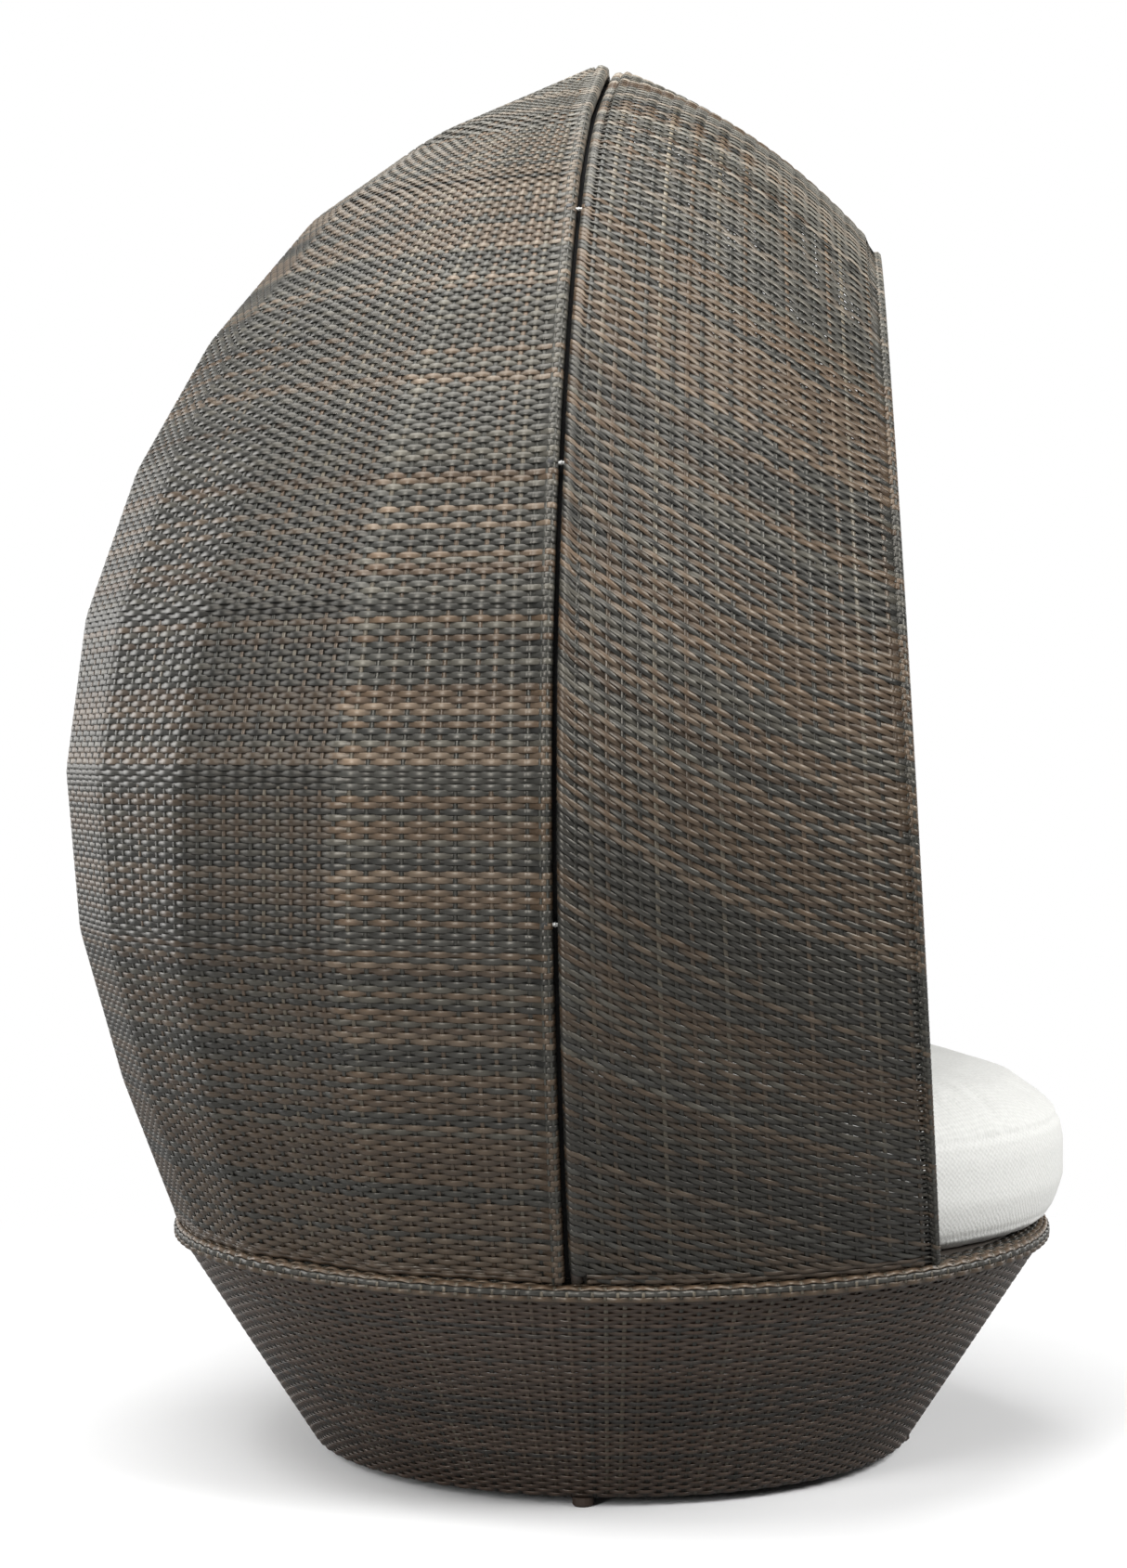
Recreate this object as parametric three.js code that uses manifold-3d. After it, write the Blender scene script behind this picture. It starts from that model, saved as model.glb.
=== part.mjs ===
// An outdoor daybed: a round woven base, a tall bud-shaped canopy in two bolted shells,
// and a thick round cushion. Millimetres, +Z up, origin on the floor under the middle of
// the overall box. The mouth of the canopy faces -Y. The pieces are drawn about the axis of
// the base, with the seam between the two shells on y = 0, and then moved as one group.

import * as THREE from 'three';
import { mergeVertices } from 'three/addons/utils/BufferGeometryUtils.js';
import Module from 'manifold-3d';

const wasm = await Module();
wasm.setup();

// Fits and weave
const clearance = 0.3;
const frameClearance = 0.6;
const cutOverrun = 5;
const weaveThickness = 6;
const weldShare = 0.001;

// Base
const footHeight = 14;
const footRadius = 16;
const footEdge = 3;
const footStudRadius = 4;
const footStudLength = 14;
const boreClearance = 0.4;
const baseBottomRadius = 476;
const rimRadius = 694;
const rimTop = 364;
const rimBandHeight = 20;
const rimWrapThickness = 4;
const rimWrapReach = 39;
const rimOverhang = 3;
const ringTubeRadius = 11;
const uprightRadius = 9;
const uprightCount = 8;
const bearerRadius = 9;
const deckThickness = 10;

// Canopy profile, with a corner at the foot, at each rung and at the peak
const bulgeHeight = 1069;
const bulgeRadius = 866;
const peakHeight = 2200;
const lowerHeightShares = [0, 0.316, 0.65, 1];
const lowerRadiusShares = [0, 0.494, 0.878, 1];
const upperHeightShares = [0.21, 0.412, 0.59, 0.763, 0.879, 1];
const upperRadiusShares = [0.965, 0.874, 0.744, 0.557, 0.352, 0];

// Canopy frame: ribs of one half of the rear shell, in degrees back from the seam
const ribFootDegrees = [23, 45, 59, 74];
const ribTopDegrees = [17, 35, 53, 71];
const backDegrees = 90;
const seamGap = 7;
const archRadius = 10;
const railRadius = 11;
const ribRadius = 9;
const rungRadius = 6;
const crownRingRadius = 11;
const stayRadius = 8;

// Front shell: the plane of its front edge leans back, and its crest falls to that edge
const mouthFootSetback = 186;
const mouthLean = 88;
const mouthTopHeight = 1900;
const crestDrop = 90;
const rowBend = 0.16;
const sideStayShare = 0.52;

// Fasteners
const studHeightShares = { low: 0.2745, middle: 0.613, high: 0.824 };
const studRadius = 4;
const studDepth = 9;
const studCollarRadius = 8;
const frontBoltDegrees = 25;
const baseBoltRadius = 3;
const baseBoltHeadRadius = 7;
const baseBoltHeadHeight = 5;
const baseBoltGrip = 8;

// Cushion
const cushionInset = 58;
const cushionShift = 40;
const cushionBulge = 44;
const cushionBandBottom = 34;
const cushionBandTop = 162;
const cushionCrown = 112;
const cushionSeamDraw = 5;
const cushionFootDraw = 40;
const cushionBulgePower = 6;
const cushionCrownPower = 3;
const cushionCrownShares = [0.985, 0.95, 0.88, 0.77, 0.62, 0.43, 0.22];

// Facets
const uprightShare = 0.1;
const baseSides = 48;
const tubeSides = 8;
const slimTubeSides = 6;
const fastenerSides = 8;
const footSides = 14;
const frontColumns = 7;
const frontRows = 28;
const railSteps = 8;
const archSamples = 12;
const halvings = 48;

const finishes = {
  weave: { color: 0x4a4139, roughness: 0.62, metalness: 0 },
  wrap: { color: 0x4e443b, roughness: 0.6, metalness: 0 },
  frame: { color: 0x3a342f, roughness: 0.45, metalness: 0.35 },
  deck: { color: 0x463d36, roughness: 0.7, metalness: 0 },
  foot: { color: 0x3b2a20, roughness: 0.5, metalness: 0 },
  bolt: { color: 0xb9b7b2, roughness: 0.3, metalness: 0.9 },
  cushion: { color: 0xe9e8e2, roughness: 0.9, metalness: 0 },
};

const mouthFootReach = rimRadius - mouthFootSetback;
const mouthTopReach = mouthFootReach - mouthLean;
const cushionRadius = rimRadius - cushionInset;

const daybed = new THREE.Group();
const pieces = new THREE.Group();
const cushionFront = cushionRadius + cushionBulge + cushionShift;
pieces.position.y = (cushionFront - bulgeRadius) / 2;
daybed.add(pieces);

function place(name, geometry, finish) {
  const mesh = new THREE.Mesh(geometry, new THREE.MeshStandardMaterial(finishes[finish]));
  mesh.name = name;
  pieces.add(mesh);
}

// Solids and cuts

function merged(geometry) {
  const bare = geometry.clone();
  bare.deleteAttribute('normal');
  bare.deleteAttribute('uv');
  return mergeVertices(bare, clearance * weldShare);
}

function solidOf(geometry) {
  const bare = merged(geometry);
  const vertProperties = new Float32Array(bare.attributes.position.array);
  const triVerts = new Uint32Array(bare.index.array);
  return new wasm.Manifold(new wasm.Mesh({ numProp: 3, vertProperties, triVerts }));
}

function geometryOf(solid) {
  const mesh = solid.getMesh();
  const geometry = new THREE.BufferGeometry();
  geometry.setAttribute('position', new THREE.BufferAttribute(mesh.vertProperties, 3));
  geometry.setIndex(new THREE.BufferAttribute(mesh.triVerts, 1));
  return geometry;
}

function cut(geometry, ...cutters) {
  return geometryOf(cutters.reduce((body, cutter) => body.subtract(solidOf(cutter)), solidOf(geometry)));
}

function geometryFrom(points, triangles) {
  const geometry = new THREE.BufferGeometry();
  const numbers = points.flatMap((point) => point.toArray());
  geometry.setAttribute('position', new THREE.Float32BufferAttribute(numbers, 3));
  geometry.setIndex(triangles.flat());
  return geometry;
}

// A round bar along a line of points, mitred at each one, with flat ends or closed on itself
function bar(points, radius, sides, closed = false) {
  const count = points.length;
  const directionAt = (a, b) => points[b].clone().sub(points[a]).normalize();
  const vertices = [];
  let across = null;
  for (let i = 0; i < count; i += 1) {
    const before = closed || i > 0 ? directionAt((i + count - 1) % count, i) : null;
    const after = closed || i < count - 1 ? directionAt(i, (i + 1) % count) : null;
    const incoming = before ?? after;
    const outgoing = after ?? before;
    const tangent = incoming.clone().add(outgoing).normalize();
    if (!across) across = firstSpoke(incoming);
    across.sub(incoming.clone().multiplyScalar(across.dot(incoming))).normalize();
    const up = incoming.clone().cross(across);
    for (let k = 0; k < sides; k += 1) {
      const turn = (k / sides) * Math.PI * 2;
      const spoke = across.clone().multiplyScalar(Math.cos(turn)).addScaledVector(up, Math.sin(turn));
      const slide = -spoke.dot(tangent) / incoming.dot(tangent);
      vertices.push(spoke.addScaledVector(incoming, slide).multiplyScalar(radius).add(points[i]));
    }
  }
  const triangles = [];
  const rings = closed ? count : count - 1;
  for (let i = 0; i < rings; i += 1) {
    const next = (i + 1) % count;
    for (let k = 0; k < sides; k += 1) {
      const side = (k + 1) % sides;
      const [a, b, c, d] = [i * sides + k, i * sides + side, next * sides + side, next * sides + k];
      triangles.push([a, b, c], [a, c, d]);
    }
  }
  if (!closed) {
    for (let k = 1; k < sides - 1; k += 1) {
      const last = (count - 1) * sides;
      triangles.push([0, k + 1, k], [last, last + k, last + k + 1]);
    }
  }
  return geometryFrom(vertices, triangles);
}

// The first spoke of a bar lies flat where it can, so that closed rings meet without a twist
function firstSpoke(direction) {
  const flat = new THREE.Vector3(0, 0, 1).cross(direction);
  return Math.hypot(direction.x, direction.y) > Math.abs(direction.z) * uprightShare
    ? flat.normalize()
    : new THREE.Vector3(0, 1, 0);
}

function upright(radius, low, high, x, y, sides) {
  const body = new THREE.CylinderGeometry(radius, radius, high - low, sides);
  body.rotateX(Math.PI / 2);
  body.translate(x, y, (low + high) / 2);
  return body;
}

function crosswise(radius, low, high, x, z, sides) {
  const body = new THREE.CylinderGeometry(radius, radius, high - low, sides);
  body.translate(x, (low + high) / 2, z);
  return body;
}

// A ring of revolution from a closed outline of [radius, height] points
function ringOf(outline, sides) {
  const points = outline.map(([radius, height]) => new THREE.Vector2(radius, height));
  const ring = new THREE.LatheGeometry([...points, points[0]], sides);
  return ring.rotateX(Math.PI / 2);
}

function round(radius, degrees, z) {
  const turn = THREE.MathUtils.degToRad(degrees);
  return new THREE.Vector3(-radius * Math.cos(turn), radius * Math.sin(turn), z);
}

function ringPath(radius, z) {
  return Array.from({ length: baseSides }, (_, i) => round(radius, (i * 360) / baseSides, z));
}

// Base

const skirtFoot = footHeight + clearance;
const skirtTop = rimTop - rimBandHeight - clearance;
const skirtTopRadius = rimRadius - rimOverhang;
const skirtLean = (skirtTopRadius - baseBottomRadius) / (skirtTop - skirtFoot);
const leanStretch = Math.hypot(1, skirtLean);
const skirtRadiusAt = (z) => baseBottomRadius + (z - skirtFoot) * skirtLean;
const tubeInset = (weaveThickness + frameClearance + ringTubeRadius) * leanStretch;

const bottomRingHeight = footHeight + clearance + ringTubeRadius;
const topRingHeight = rimTop - rimWrapThickness - clearance - ringTubeRadius;
const bottomRingRadius = skirtRadiusAt(bottomRingHeight) - tubeInset;
const topRingRadius = skirtRadiusAt(topRingHeight) - tubeInset;
const railHeight = rimTop + clearance + railRadius;
const railArcRadius = rimRadius - weaveThickness - frameClearance - railRadius;

const sideSigns = { left: -1, right: 1 };
const footDegrees = { left: 0, back: 90, right: 180, front: 270 };
const bearerHeight = rimTop - deckThickness - clearance - bearerRadius;
const ringBar = (radius, z, grow = 0) => bar(ringPath(radius, z), ringTubeRadius + grow, tubeSides, true);

function makeFeet() {
  const shaft = bottomRingHeight - ringTubeRadius;
  for (const [side, degrees] of Object.entries(footDegrees)) {
    const at = round(bottomRingRadius, degrees, 0);
    const profile = [
      [0, 0],
      [footRadius - footEdge, 0],
      [footRadius, footEdge],
      [footRadius, footHeight],
      [footStudRadius, footHeight],
      [footStudRadius, shaft + footStudLength],
      [0, shaft + footStudLength],
    ].map(([radius, height]) => new THREE.Vector2(radius, height));
    const foot = new THREE.LatheGeometry(profile, footSides).rotateX(Math.PI / 2);
    place(`foot_${side}`, foot.translate(at.x, at.y, 0), 'foot');
  }
}

function makeBase() {
  const studBore = footStudRadius + boreClearance;
  const shaft = bottomRingHeight - ringTubeRadius;
  const bores = Object.values(footDegrees).map((degrees) => {
    const at = round(bottomRingRadius, degrees, 0);
    const end = shaft + footStudLength + boreClearance;
    return upright(studBore, shaft - cutOverrun, end, at.x, at.y, fastenerSides);
  });
  place('base_bottom_ring', cut(ringBar(bottomRingRadius, bottomRingHeight), ...bores), 'frame');
  place('base_top_ring', cut(ringBar(topRingRadius, topRingHeight), ...baseBoltHoles()), 'frame');

  const keepOff = [
    ringBar(bottomRingRadius, bottomRingHeight, clearance),
    ringBar(topRingRadius, topRingHeight, clearance),
  ];
  for (let i = 0; i < uprightCount; i += 1) {
    const degrees = ((i + 0.5) * 360) / uprightCount;
    const foot = round(bottomRingRadius, degrees, bottomRingHeight);
    const head = round(topRingRadius, degrees, topRingHeight);
    place(`base_upright_${i + 1}`, cut(bar([foot, head], uprightRadius, tubeSides), ...keepOff), 'frame');
  }

  const topRing = ringBar(topRingRadius, topRingHeight, clearance);
  const centrePath = [-topRingRadius, topRingRadius].map((y) => new THREE.Vector3(0, y, bearerHeight));
  const centreBar = (grow) => bar(centrePath, bearerRadius + grow, tubeSides);
  place('deck_bearer_centre', cut(centreBar(0), topRing), 'frame');
  for (const [side, sign] of Object.entries(sideSigns)) {
    const path = [0, sign * topRingRadius].map((x) => new THREE.Vector3(x, 0, bearerHeight));
    const arm = bar(path, bearerRadius - clearance, tubeSides);
    place(`deck_bearer_${side}`, cut(arm, topRing, centreBar(clearance)), 'frame');
  }

  const skirt = ringOf([
    [baseBottomRadius, skirtFoot],
    [skirtTopRadius, skirtTop],
    [skirtTopRadius - weaveThickness * leanStretch, skirtTop],
    [baseBottomRadius - weaveThickness * leanStretch, skirtFoot],
  ], baseSides);
  place('base_weave', skirt, 'weave');

  const lip = rimRadius - rimWrapThickness;
  const plate = rimTop - rimWrapThickness;
  const rim = ringOf([
    [rimRadius, rimTop - rimBandHeight],
    [rimRadius, rimTop],
    [rimRadius - rimWrapReach, rimTop],
    [rimRadius - rimWrapReach, plate],
    [lip, plate],
    [lip, rimTop - rimBandHeight],
  ], baseSides);
  place('base_rim_wrap', cut(rim, ...baseBoltHoles()), 'wrap');

  const deck = rimRadius - rimWrapReach - clearance;
  place('seat_deck', ringOf([
    [0, rimTop - deckThickness],
    [deck, rimTop - deckThickness],
    [deck, rimTop],
    [0, rimTop],
  ], baseSides), 'deck');
}

// Canopy profile

const footLevel = rimTop + clearance;
const profileHeights = [
  ...lowerHeightShares.map((share) => footLevel + share * (bulgeHeight - footLevel)),
  ...upperHeightShares.map((share) => bulgeHeight + share * (peakHeight - bulgeHeight)),
];
const profileRadii = [
  ...lowerRadiusShares.map((share) => rimRadius + share * (bulgeRadius - rimRadius)),
  ...upperRadiusShares.map((share) => share * bulgeRadius),
];
const crownLevel = profileHeights.length - 2;

function slopeAt(i) {
  const low = Math.max(i - 1, 0);
  const high = Math.min(i + 1, profileHeights.length - 1);
  return (profileRadii[high] - profileRadii[low]) / (profileHeights[high] - profileHeights[low]);
}

// Radius of the smooth profile at a height
function smoothRadius(z) {
  const last = profileHeights.length - 1;
  if (z <= profileHeights[0]) return profileRadii[0];
  if (z >= profileHeights[last]) return 0;
  let i = 0;
  while (z > profileHeights[i + 1]) i += 1;
  const span = profileHeights[i + 1] - profileHeights[i];
  const t = (z - profileHeights[i]) / span;
  const [t2, t3] = [t * t, t * t * t];
  return (2 * t3 - 3 * t2 + 1) * profileRadii[i] + (t3 - 2 * t2 + t) * span * slopeAt(i)
    + (3 * t2 - 2 * t3) * profileRadii[i + 1] + (t3 - t2) * span * slopeAt(i + 1);
}

// Radius of the faceted profile at a height
function facetRadius(z) {
  let i = 0;
  while (i < profileHeights.length - 2 && z > profileHeights[i + 1]) i += 1;
  const t = (z - profileHeights[i]) / (profileHeights[i + 1] - profileHeights[i]);
  return THREE.MathUtils.lerp(profileRadii[i], profileRadii[i + 1], t);
}

// Rear shell, a cage of flat facets. Columns run from the left seam round the back to the right one.

const archPlane = seamGap / 2 + archRadius;
const skinPlane = archPlane + archRadius + clearance;
const ribCount = ribFootDegrees.length * 2 + 1;
const columnCount = ribCount + 2;

function ribDegreesAt(column, z) {
  const half = ribFootDegrees.length;
  const t = THREE.MathUtils.clamp((z - footLevel) / (profileHeights[crownLevel - 2] - footLevel), 0, 1);
  if (column === half + 1) return backDegrees;
  if (column <= half) return THREE.MathUtils.lerp(ribFootDegrees[column - 1], ribTopDegrees[column - 1], t);
  return 2 * backDegrees - ribDegreesAt(columnCount - 1 - column, z);
}

function rearCorner(column, level) {
  const z = profileHeights[level];
  const radius = profileRadii[level];
  if (level > crownLevel) {
    const fall = (peakHeight - profileHeights[crownLevel]) * (skinPlane / profileRadii[crownLevel]);
    return new THREE.Vector3(0, skinPlane, peakHeight - fall);
  }
  if (column > 0 && column < columnCount - 1) return round(radius, ribDegreesAt(column, z), z);
  const side = column === 0 ? -1 : 1;
  return new THREE.Vector3(side * Math.sqrt(radius * radius - skinPlane * skinPlane), skinPlane, z);
}

// A grid of corners, each moved inward so that the faces around it step in by a depth
function stepIn(grid, depth, flatten) {
  const rows = grid.length;
  const columns = grid[0].length;
  const faceNormal = (i, j) => {
    const [a, b, c, d] = [grid[i][j], grid[i][j + 1], grid[i + 1][j + 1], grid[i + 1][j]];
    return d.clone().sub(b).cross(c.clone().sub(a)).normalize();
  };
  return grid.map((row, i) => row.map((corner, j) => {
    const normals = [];
    for (const m of [i - 1, i]) {
      for (const n of [j - 1, j]) {
        if (m >= 0 && m < rows - 1 && n >= 0 && n < columns - 1) normals.push(faceNormal(m, n));
      }
    }
    const mean = normals.reduce((sum, normal) => sum.add(normal), new THREE.Vector3());
    flatten(mean, i, j);
    mean.normalize();
    const least = Math.min(...normals.map((normal) => Math.abs(normal.dot(mean))));
    return corner.clone().addScaledVector(mean, -depth / least);
  }));
}

// A closed skin between an outer and an inner grid
function skinOf(outer, inner) {
  const rows = outer.length;
  const columns = outer[0].length;
  const points = [...outer.flat(), ...inner.flat()];
  const at = (i, j) => i * columns + j;
  const within = (i, j) => rows * columns + i * columns + j;
  const triangles = [];
  const quad = (a, b, c, d) => triangles.push([a, b, c], [a, c, d]);
  const last = { i: rows - 1, j: columns - 1 };
  for (let i = 0; i < last.i; i += 1) {
    for (let j = 0; j < last.j; j += 1) {
      quad(at(i, j), at(i + 1, j), at(i + 1, j + 1), at(i, j + 1));
      quad(within(i, j), within(i, j + 1), within(i + 1, j + 1), within(i + 1, j));
    }
    quad(at(i + 1, 0), at(i, 0), within(i, 0), within(i + 1, 0));
    quad(at(i, last.j), at(i + 1, last.j), within(i + 1, last.j), within(i, last.j));
  }
  for (let j = 0; j < last.j; j += 1) {
    quad(at(0, j), at(0, j + 1), within(0, j + 1), within(0, j));
    quad(at(last.i, j + 1), at(last.i, j), within(last.i, j), within(last.i, j + 1));
  }
  const whole = merged(geometryFrom(points, triangles));
  const order = whole.index.array;
  const kept = [];
  for (let k = 0; k < order.length; k += 3) {
    const [a, b, c] = [order[k], order[k + 1], order[k + 2]];
    if (a !== b && b !== c && c !== a) kept.push(a, b, c);
  }
  whole.setIndex(kept);
  return whole;
}

const rearOuter = Array.from({ length: profileHeights.length }, (_, level) => (
  Array.from({ length: columnCount }, (_unused, column) => rearCorner(column, level))
));

function stepInRear(depth) {
  const lastColumn = columnCount - 1;
  const inner = stepIn(rearOuter, depth, (mean, i, j) => {
    if (i === 0) mean.setZ(0);
    if (j === 0 || j === lastColumn || i > crownLevel) mean.setY(0);
    if (i > crownLevel) mean.setX(0);
  });
  const top = inner[crownLevel + 1];
  const low = top.reduce((a, b) => (a.z < b.z ? a : b));
  inner[crownLevel + 1] = top.map(() => low.clone());
  return inner;
}

// Points of a flat arch, each moved inward in the arch's own plane
function insetArch(points, depth) {
  const normalOf = (a, b) => new THREE.Vector3(a.z - b.z, 0, b.x - a.x).normalize();
  return points.map((point, i) => {
    const before = i > 0 ? normalOf(points[i - 1], point) : null;
    const after = i < points.length - 1 ? normalOf(point, points[i + 1]) : null;
    const mean = (before ?? after).clone().add(after ?? before).normalize();
    return point.clone().addScaledVector(mean, -depth / mean.dot(before ?? after));
  });
}

// An arch stands on the rim with its ends cut level
function archBar(points, grow = 0) {
  const [first, second] = points;
  const [beforeLast, last] = points.slice(-2);
  const reach = archRadius + grow;
  const below = (end, next) => end.clone().addScaledVector(end.clone().sub(next).normalize(), reach);
  return bar([below(first, second), ...points, below(last, beforeLast)], reach, tubeSides);
}

function groundBlock() {
  const block = new THREE.BoxGeometry(bulgeRadius * 2, bulgeRadius * 2, archRadius * 4);
  return block.translate(0, 0, footLevel - archRadius * 2);
}

const rearArchPoints = insetArch([
  ...profileHeights.slice(0, -1).map((z, level) => {
    const radius = profileRadii[level];
    return new THREE.Vector3(-Math.sqrt(radius * radius - archPlane * archPlane), archPlane, z);
  }),
  new THREE.Vector3(0, archPlane, facetHeightAt(archPlane)),
  ...profileHeights.slice(0, -1).map((z, level) => {
    const radius = profileRadii[level];
    return new THREE.Vector3(Math.sqrt(radius * radius - archPlane * archPlane), archPlane, z);
  }).reverse(),
], weaveThickness / 2);

// Height of the faceted profile above the crown ring at a radius
function facetHeightAt(radius) {
  return peakHeight - (peakHeight - profileHeights[crownLevel]) * (radius / profileRadii[crownLevel]);
}

// Front shell, smooth

const fadeAt = (z) => (z - footLevel) / (mouthTopHeight - footLevel);

function crestDropAt(y, z) {
  const share = Math.min(y, 0) / mouthTopReach;
  return crestDrop * share * share * Math.max(fadeAt(z), 0);
}

const frontRadius = (y, z) => smoothRadius(z + crestDropAt(y, z));
const mouthPlaneAt = (z) => -THREE.MathUtils.lerp(mouthFootReach, mouthTopReach, fadeAt(z));

// A point moved onto the front surface, level below the bulge and from its middle above
function onFront(point) {
  const centre = new THREE.Vector3(0, 0, Math.min(point.z, bulgeHeight));
  const ray = point.clone().sub(centre);
  let [near, far] = [0, peakHeight / ray.length()];
  for (let step = 0; step < halvings; step += 1) {
    const middle = (near + far) / 2;
    const probe = centre.clone().addScaledVector(ray, middle);
    if (Math.hypot(probe.x, probe.y) < frontRadius(probe.y, probe.z)) near = middle;
    else far = middle;
  }
  return centre.addScaledVector(ray, near);
}

// Half of the arch in which a plane cuts the front surface, in equal steps from foot to crest
function halfArch(planeAt, steps) {
  const isOpen = (z) => frontRadius(planeAt(z), z) > Math.abs(planeAt(z));
  let [low, top] = [bulgeHeight, peakHeight];
  for (let step = 0; step < halvings; step += 1) {
    const middle = (low + top) / 2;
    if (isOpen(middle)) low = middle;
    else top = middle;
  }
  const samples = steps * archSamples;
  const fine = Array.from({ length: samples + 1 }, (_, k) => {
    const z = footLevel + (low - footLevel) * Math.sin((k / samples) * (Math.PI / 2));
    const y = planeAt(z);
    return new THREE.Vector3(-Math.sqrt(Math.max(frontRadius(y, z) ** 2 - y * y, 0)), y, z);
  });
  fine[samples].setX(0);
  const lengths = [0];
  for (let k = 1; k <= samples; k += 1) lengths.push(lengths[k - 1] + fine[k].distanceTo(fine[k - 1]));
  return Array.from({ length: steps + 1 }, (_, i) => {
    const wanted = (i / steps) * lengths[samples];
    let k = 1;
    while (k < samples && lengths[k] < wanted) k += 1;
    const t = (wanted - lengths[k - 1]) / (lengths[k] - lengths[k - 1]);
    return fine[k - 1].clone().lerp(fine[k], Math.min(t, 1));
  });
}

const mirrored = (point) => new THREE.Vector3(-point.x, point.y, point.z);
const wholeArch = (half) => [...half, ...half.slice(0, -1).reverse().map(mirrored)];

const skinEdge = archRadius + clearance;
const frontArchPoints = insetArch(wholeArch(halfArch(() => -archPlane, frontRows / 2)), weaveThickness / 2);
const mouthArchPoints = insetArch(wholeArch(halfArch(mouthPlaneAt, frontRows / 2)), weaveThickness / 2);

// Rows run from the left foot over the crest to the right foot, columns from the mouth to the seam
function frontGrid() {
  const half = frontRows / 2;
  const seamLine = halfArch(() => -skinPlane, half);
  const mouthLine = halfArch((z) => mouthPlaneAt(z) + skinEdge, half);
  const rows = seamLine.map((seamPoint, i) => Array.from({ length: frontColumns + 1 }, (_, j) => {
    const along = j / frontColumns;
    const lag = rowBend * 4 * along * (1 - along);
    const point = mouthLine[i].clone().lerp(seamPoint, along);
    point.z = THREE.MathUtils.lerp(mouthLine[i].z, seamPoint.z, along - lag);
    return j === 0 || j === frontColumns ? point : onFront(point);
  }));
  return wholeArchRows(rows);
}

function wholeArchRows(rows) {
  return [...rows, ...rows.slice(0, -1).reverse().map((row) => row.map(mirrored))];
}

const frontOuter = frontGrid();

function stepInFront(depth) {
  return stepIn(frontOuter, depth, (mean, i, j) => {
    if (i === 0 || i === frontRows) mean.setZ(0);
    if (j === 0 || j === frontColumns) mean.setY(0);
  });
}

function studPlaces() {
  return Object.entries(studHeightShares).flatMap(([level, share]) => {
    const z = footLevel + share * (peakHeight - footLevel);
    const radius = facetRadius(z) - weaveThickness / 2;
    return Object.entries(sideSigns).map(([side, sign]) => (
      { name: `seam_stud_${side}_${level}`, x: sign * radius, z }
    ));
  });
}

function studBores(sign) {
  const face = sign * (seamGap / 2 - cutOverrun);
  const end = sign * (seamGap / 2 + studDepth + boreClearance);
  const [low, high] = [Math.min(face, end), Math.max(face, end)];
  const bore = studRadius + boreClearance;
  return studPlaces().map(({ x, z }) => crosswise(bore, low, high, x, z, fastenerSides));
}

// Each shell is bolted down through its foot rail, the rear one in the middle of a facet
function baseBoltPlaces() {
  const rail = stepInRear(weaveThickness + frameClearance + railRadius)[0];
  const facetMiddle = rail[1].clone().add(rail[2]).divideScalar(2).setZ(0);
  const places = {
    front: round((railArcRadius + topRingRadius) / 2, -frontBoltDegrees, 0),
    rear: facetMiddle.setLength((facetMiddle.length() + topRingRadius) / 2),
  };
  return Object.entries(places).flatMap(([shell, at]) => Object.entries(sideSigns).map(([side, sign]) => (
    { name: `base_bolt_${shell}_${side}`, x: -sign * at.x, y: at.y }
  )));
}

function baseBoltHoles() {
  const bottom = topRingHeight - baseBoltGrip - boreClearance;
  return baseBoltPlaces().map(({ x, y }) => (
    upright(baseBoltRadius + boreClearance, bottom, railHeight + railRadius * 2, x, y, fastenerSides)
  ));
}

function makeRearShell() {
  const arch = archBar(rearArchPoints);
  const archKeepOff = archBar(rearArchPoints, clearance);
  place('rear_seam_arch', cut(arch, groundBlock(), ...studBores(1)), 'wrap');

  const toArch = (point) => point.clone().setY(archPlane);
  const railDepth = weaveThickness + frameClearance + railRadius;
  const railRow = stepInRear(railDepth)[0].map((point) => point.setZ(railHeight));
  const railPath = [toArch(railRow[0]), ...railRow, toArch(railRow.at(-1))];
  const rail = bar(railPath, railRadius, tubeSides);
  const railKeepOff = bar(railPath, railRadius + clearance, tubeSides);
  place('rear_foot_rail', cut(rail, archKeepOff, ...baseBoltHoles()), 'frame');

  const crownDepth = weaveThickness + frameClearance + crownRingRadius;
  const crownRow = stepInRear(crownDepth)[crownLevel];
  const crownPath = [toArch(crownRow[0]), ...crownRow, toArch(crownRow.at(-1))];
  const crownKeepOff = bar(crownPath, crownRingRadius + clearance, tubeSides);
  place('rear_crown_ring', cut(bar(crownPath, crownRingRadius, tubeSides), archKeepOff), 'frame');

  const ribGrid = stepInRear(weaveThickness + frameClearance + ribRadius);
  for (let column = 1; column <= ribCount; column += 1) {
    const middle = ribGrid.slice(1, crownLevel).map((row) => row[column]);
    const rib = bar([railRow[column], ...middle, crownRow[column]], ribRadius, slimTubeSides);
    place(`rear_rib_${column}`, cut(rib, railKeepOff, crownKeepOff), 'frame');
  }

  const apex = ribGrid[crownLevel + 1][0];
  const stay = bar([crownRow[(columnCount - 1) / 2], apex, toArch(apex)], ribRadius, slimTubeSides);
  place('rear_crown_stay', cut(stay, crownKeepOff, archKeepOff), 'frame');

  const ribFlat = ribRadius * Math.cos(Math.PI / slimTubeSides);
  const rungDepth = weaveThickness + frameClearance + ribRadius + ribFlat + clearance + rungRadius;
  const rungGrid = stepInRear(rungDepth);
  for (let level = 1; level < crownLevel; level += 1) {
    const path = rungGrid[level].slice(1, -1);
    place(`rear_rung_${level}`, bar(path, rungRadius, slimTubeSides), 'frame');
  }

  place('rear_canopy_weave', skinOf(rearOuter, stepInRear(weaveThickness)), 'weave');
}

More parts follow.
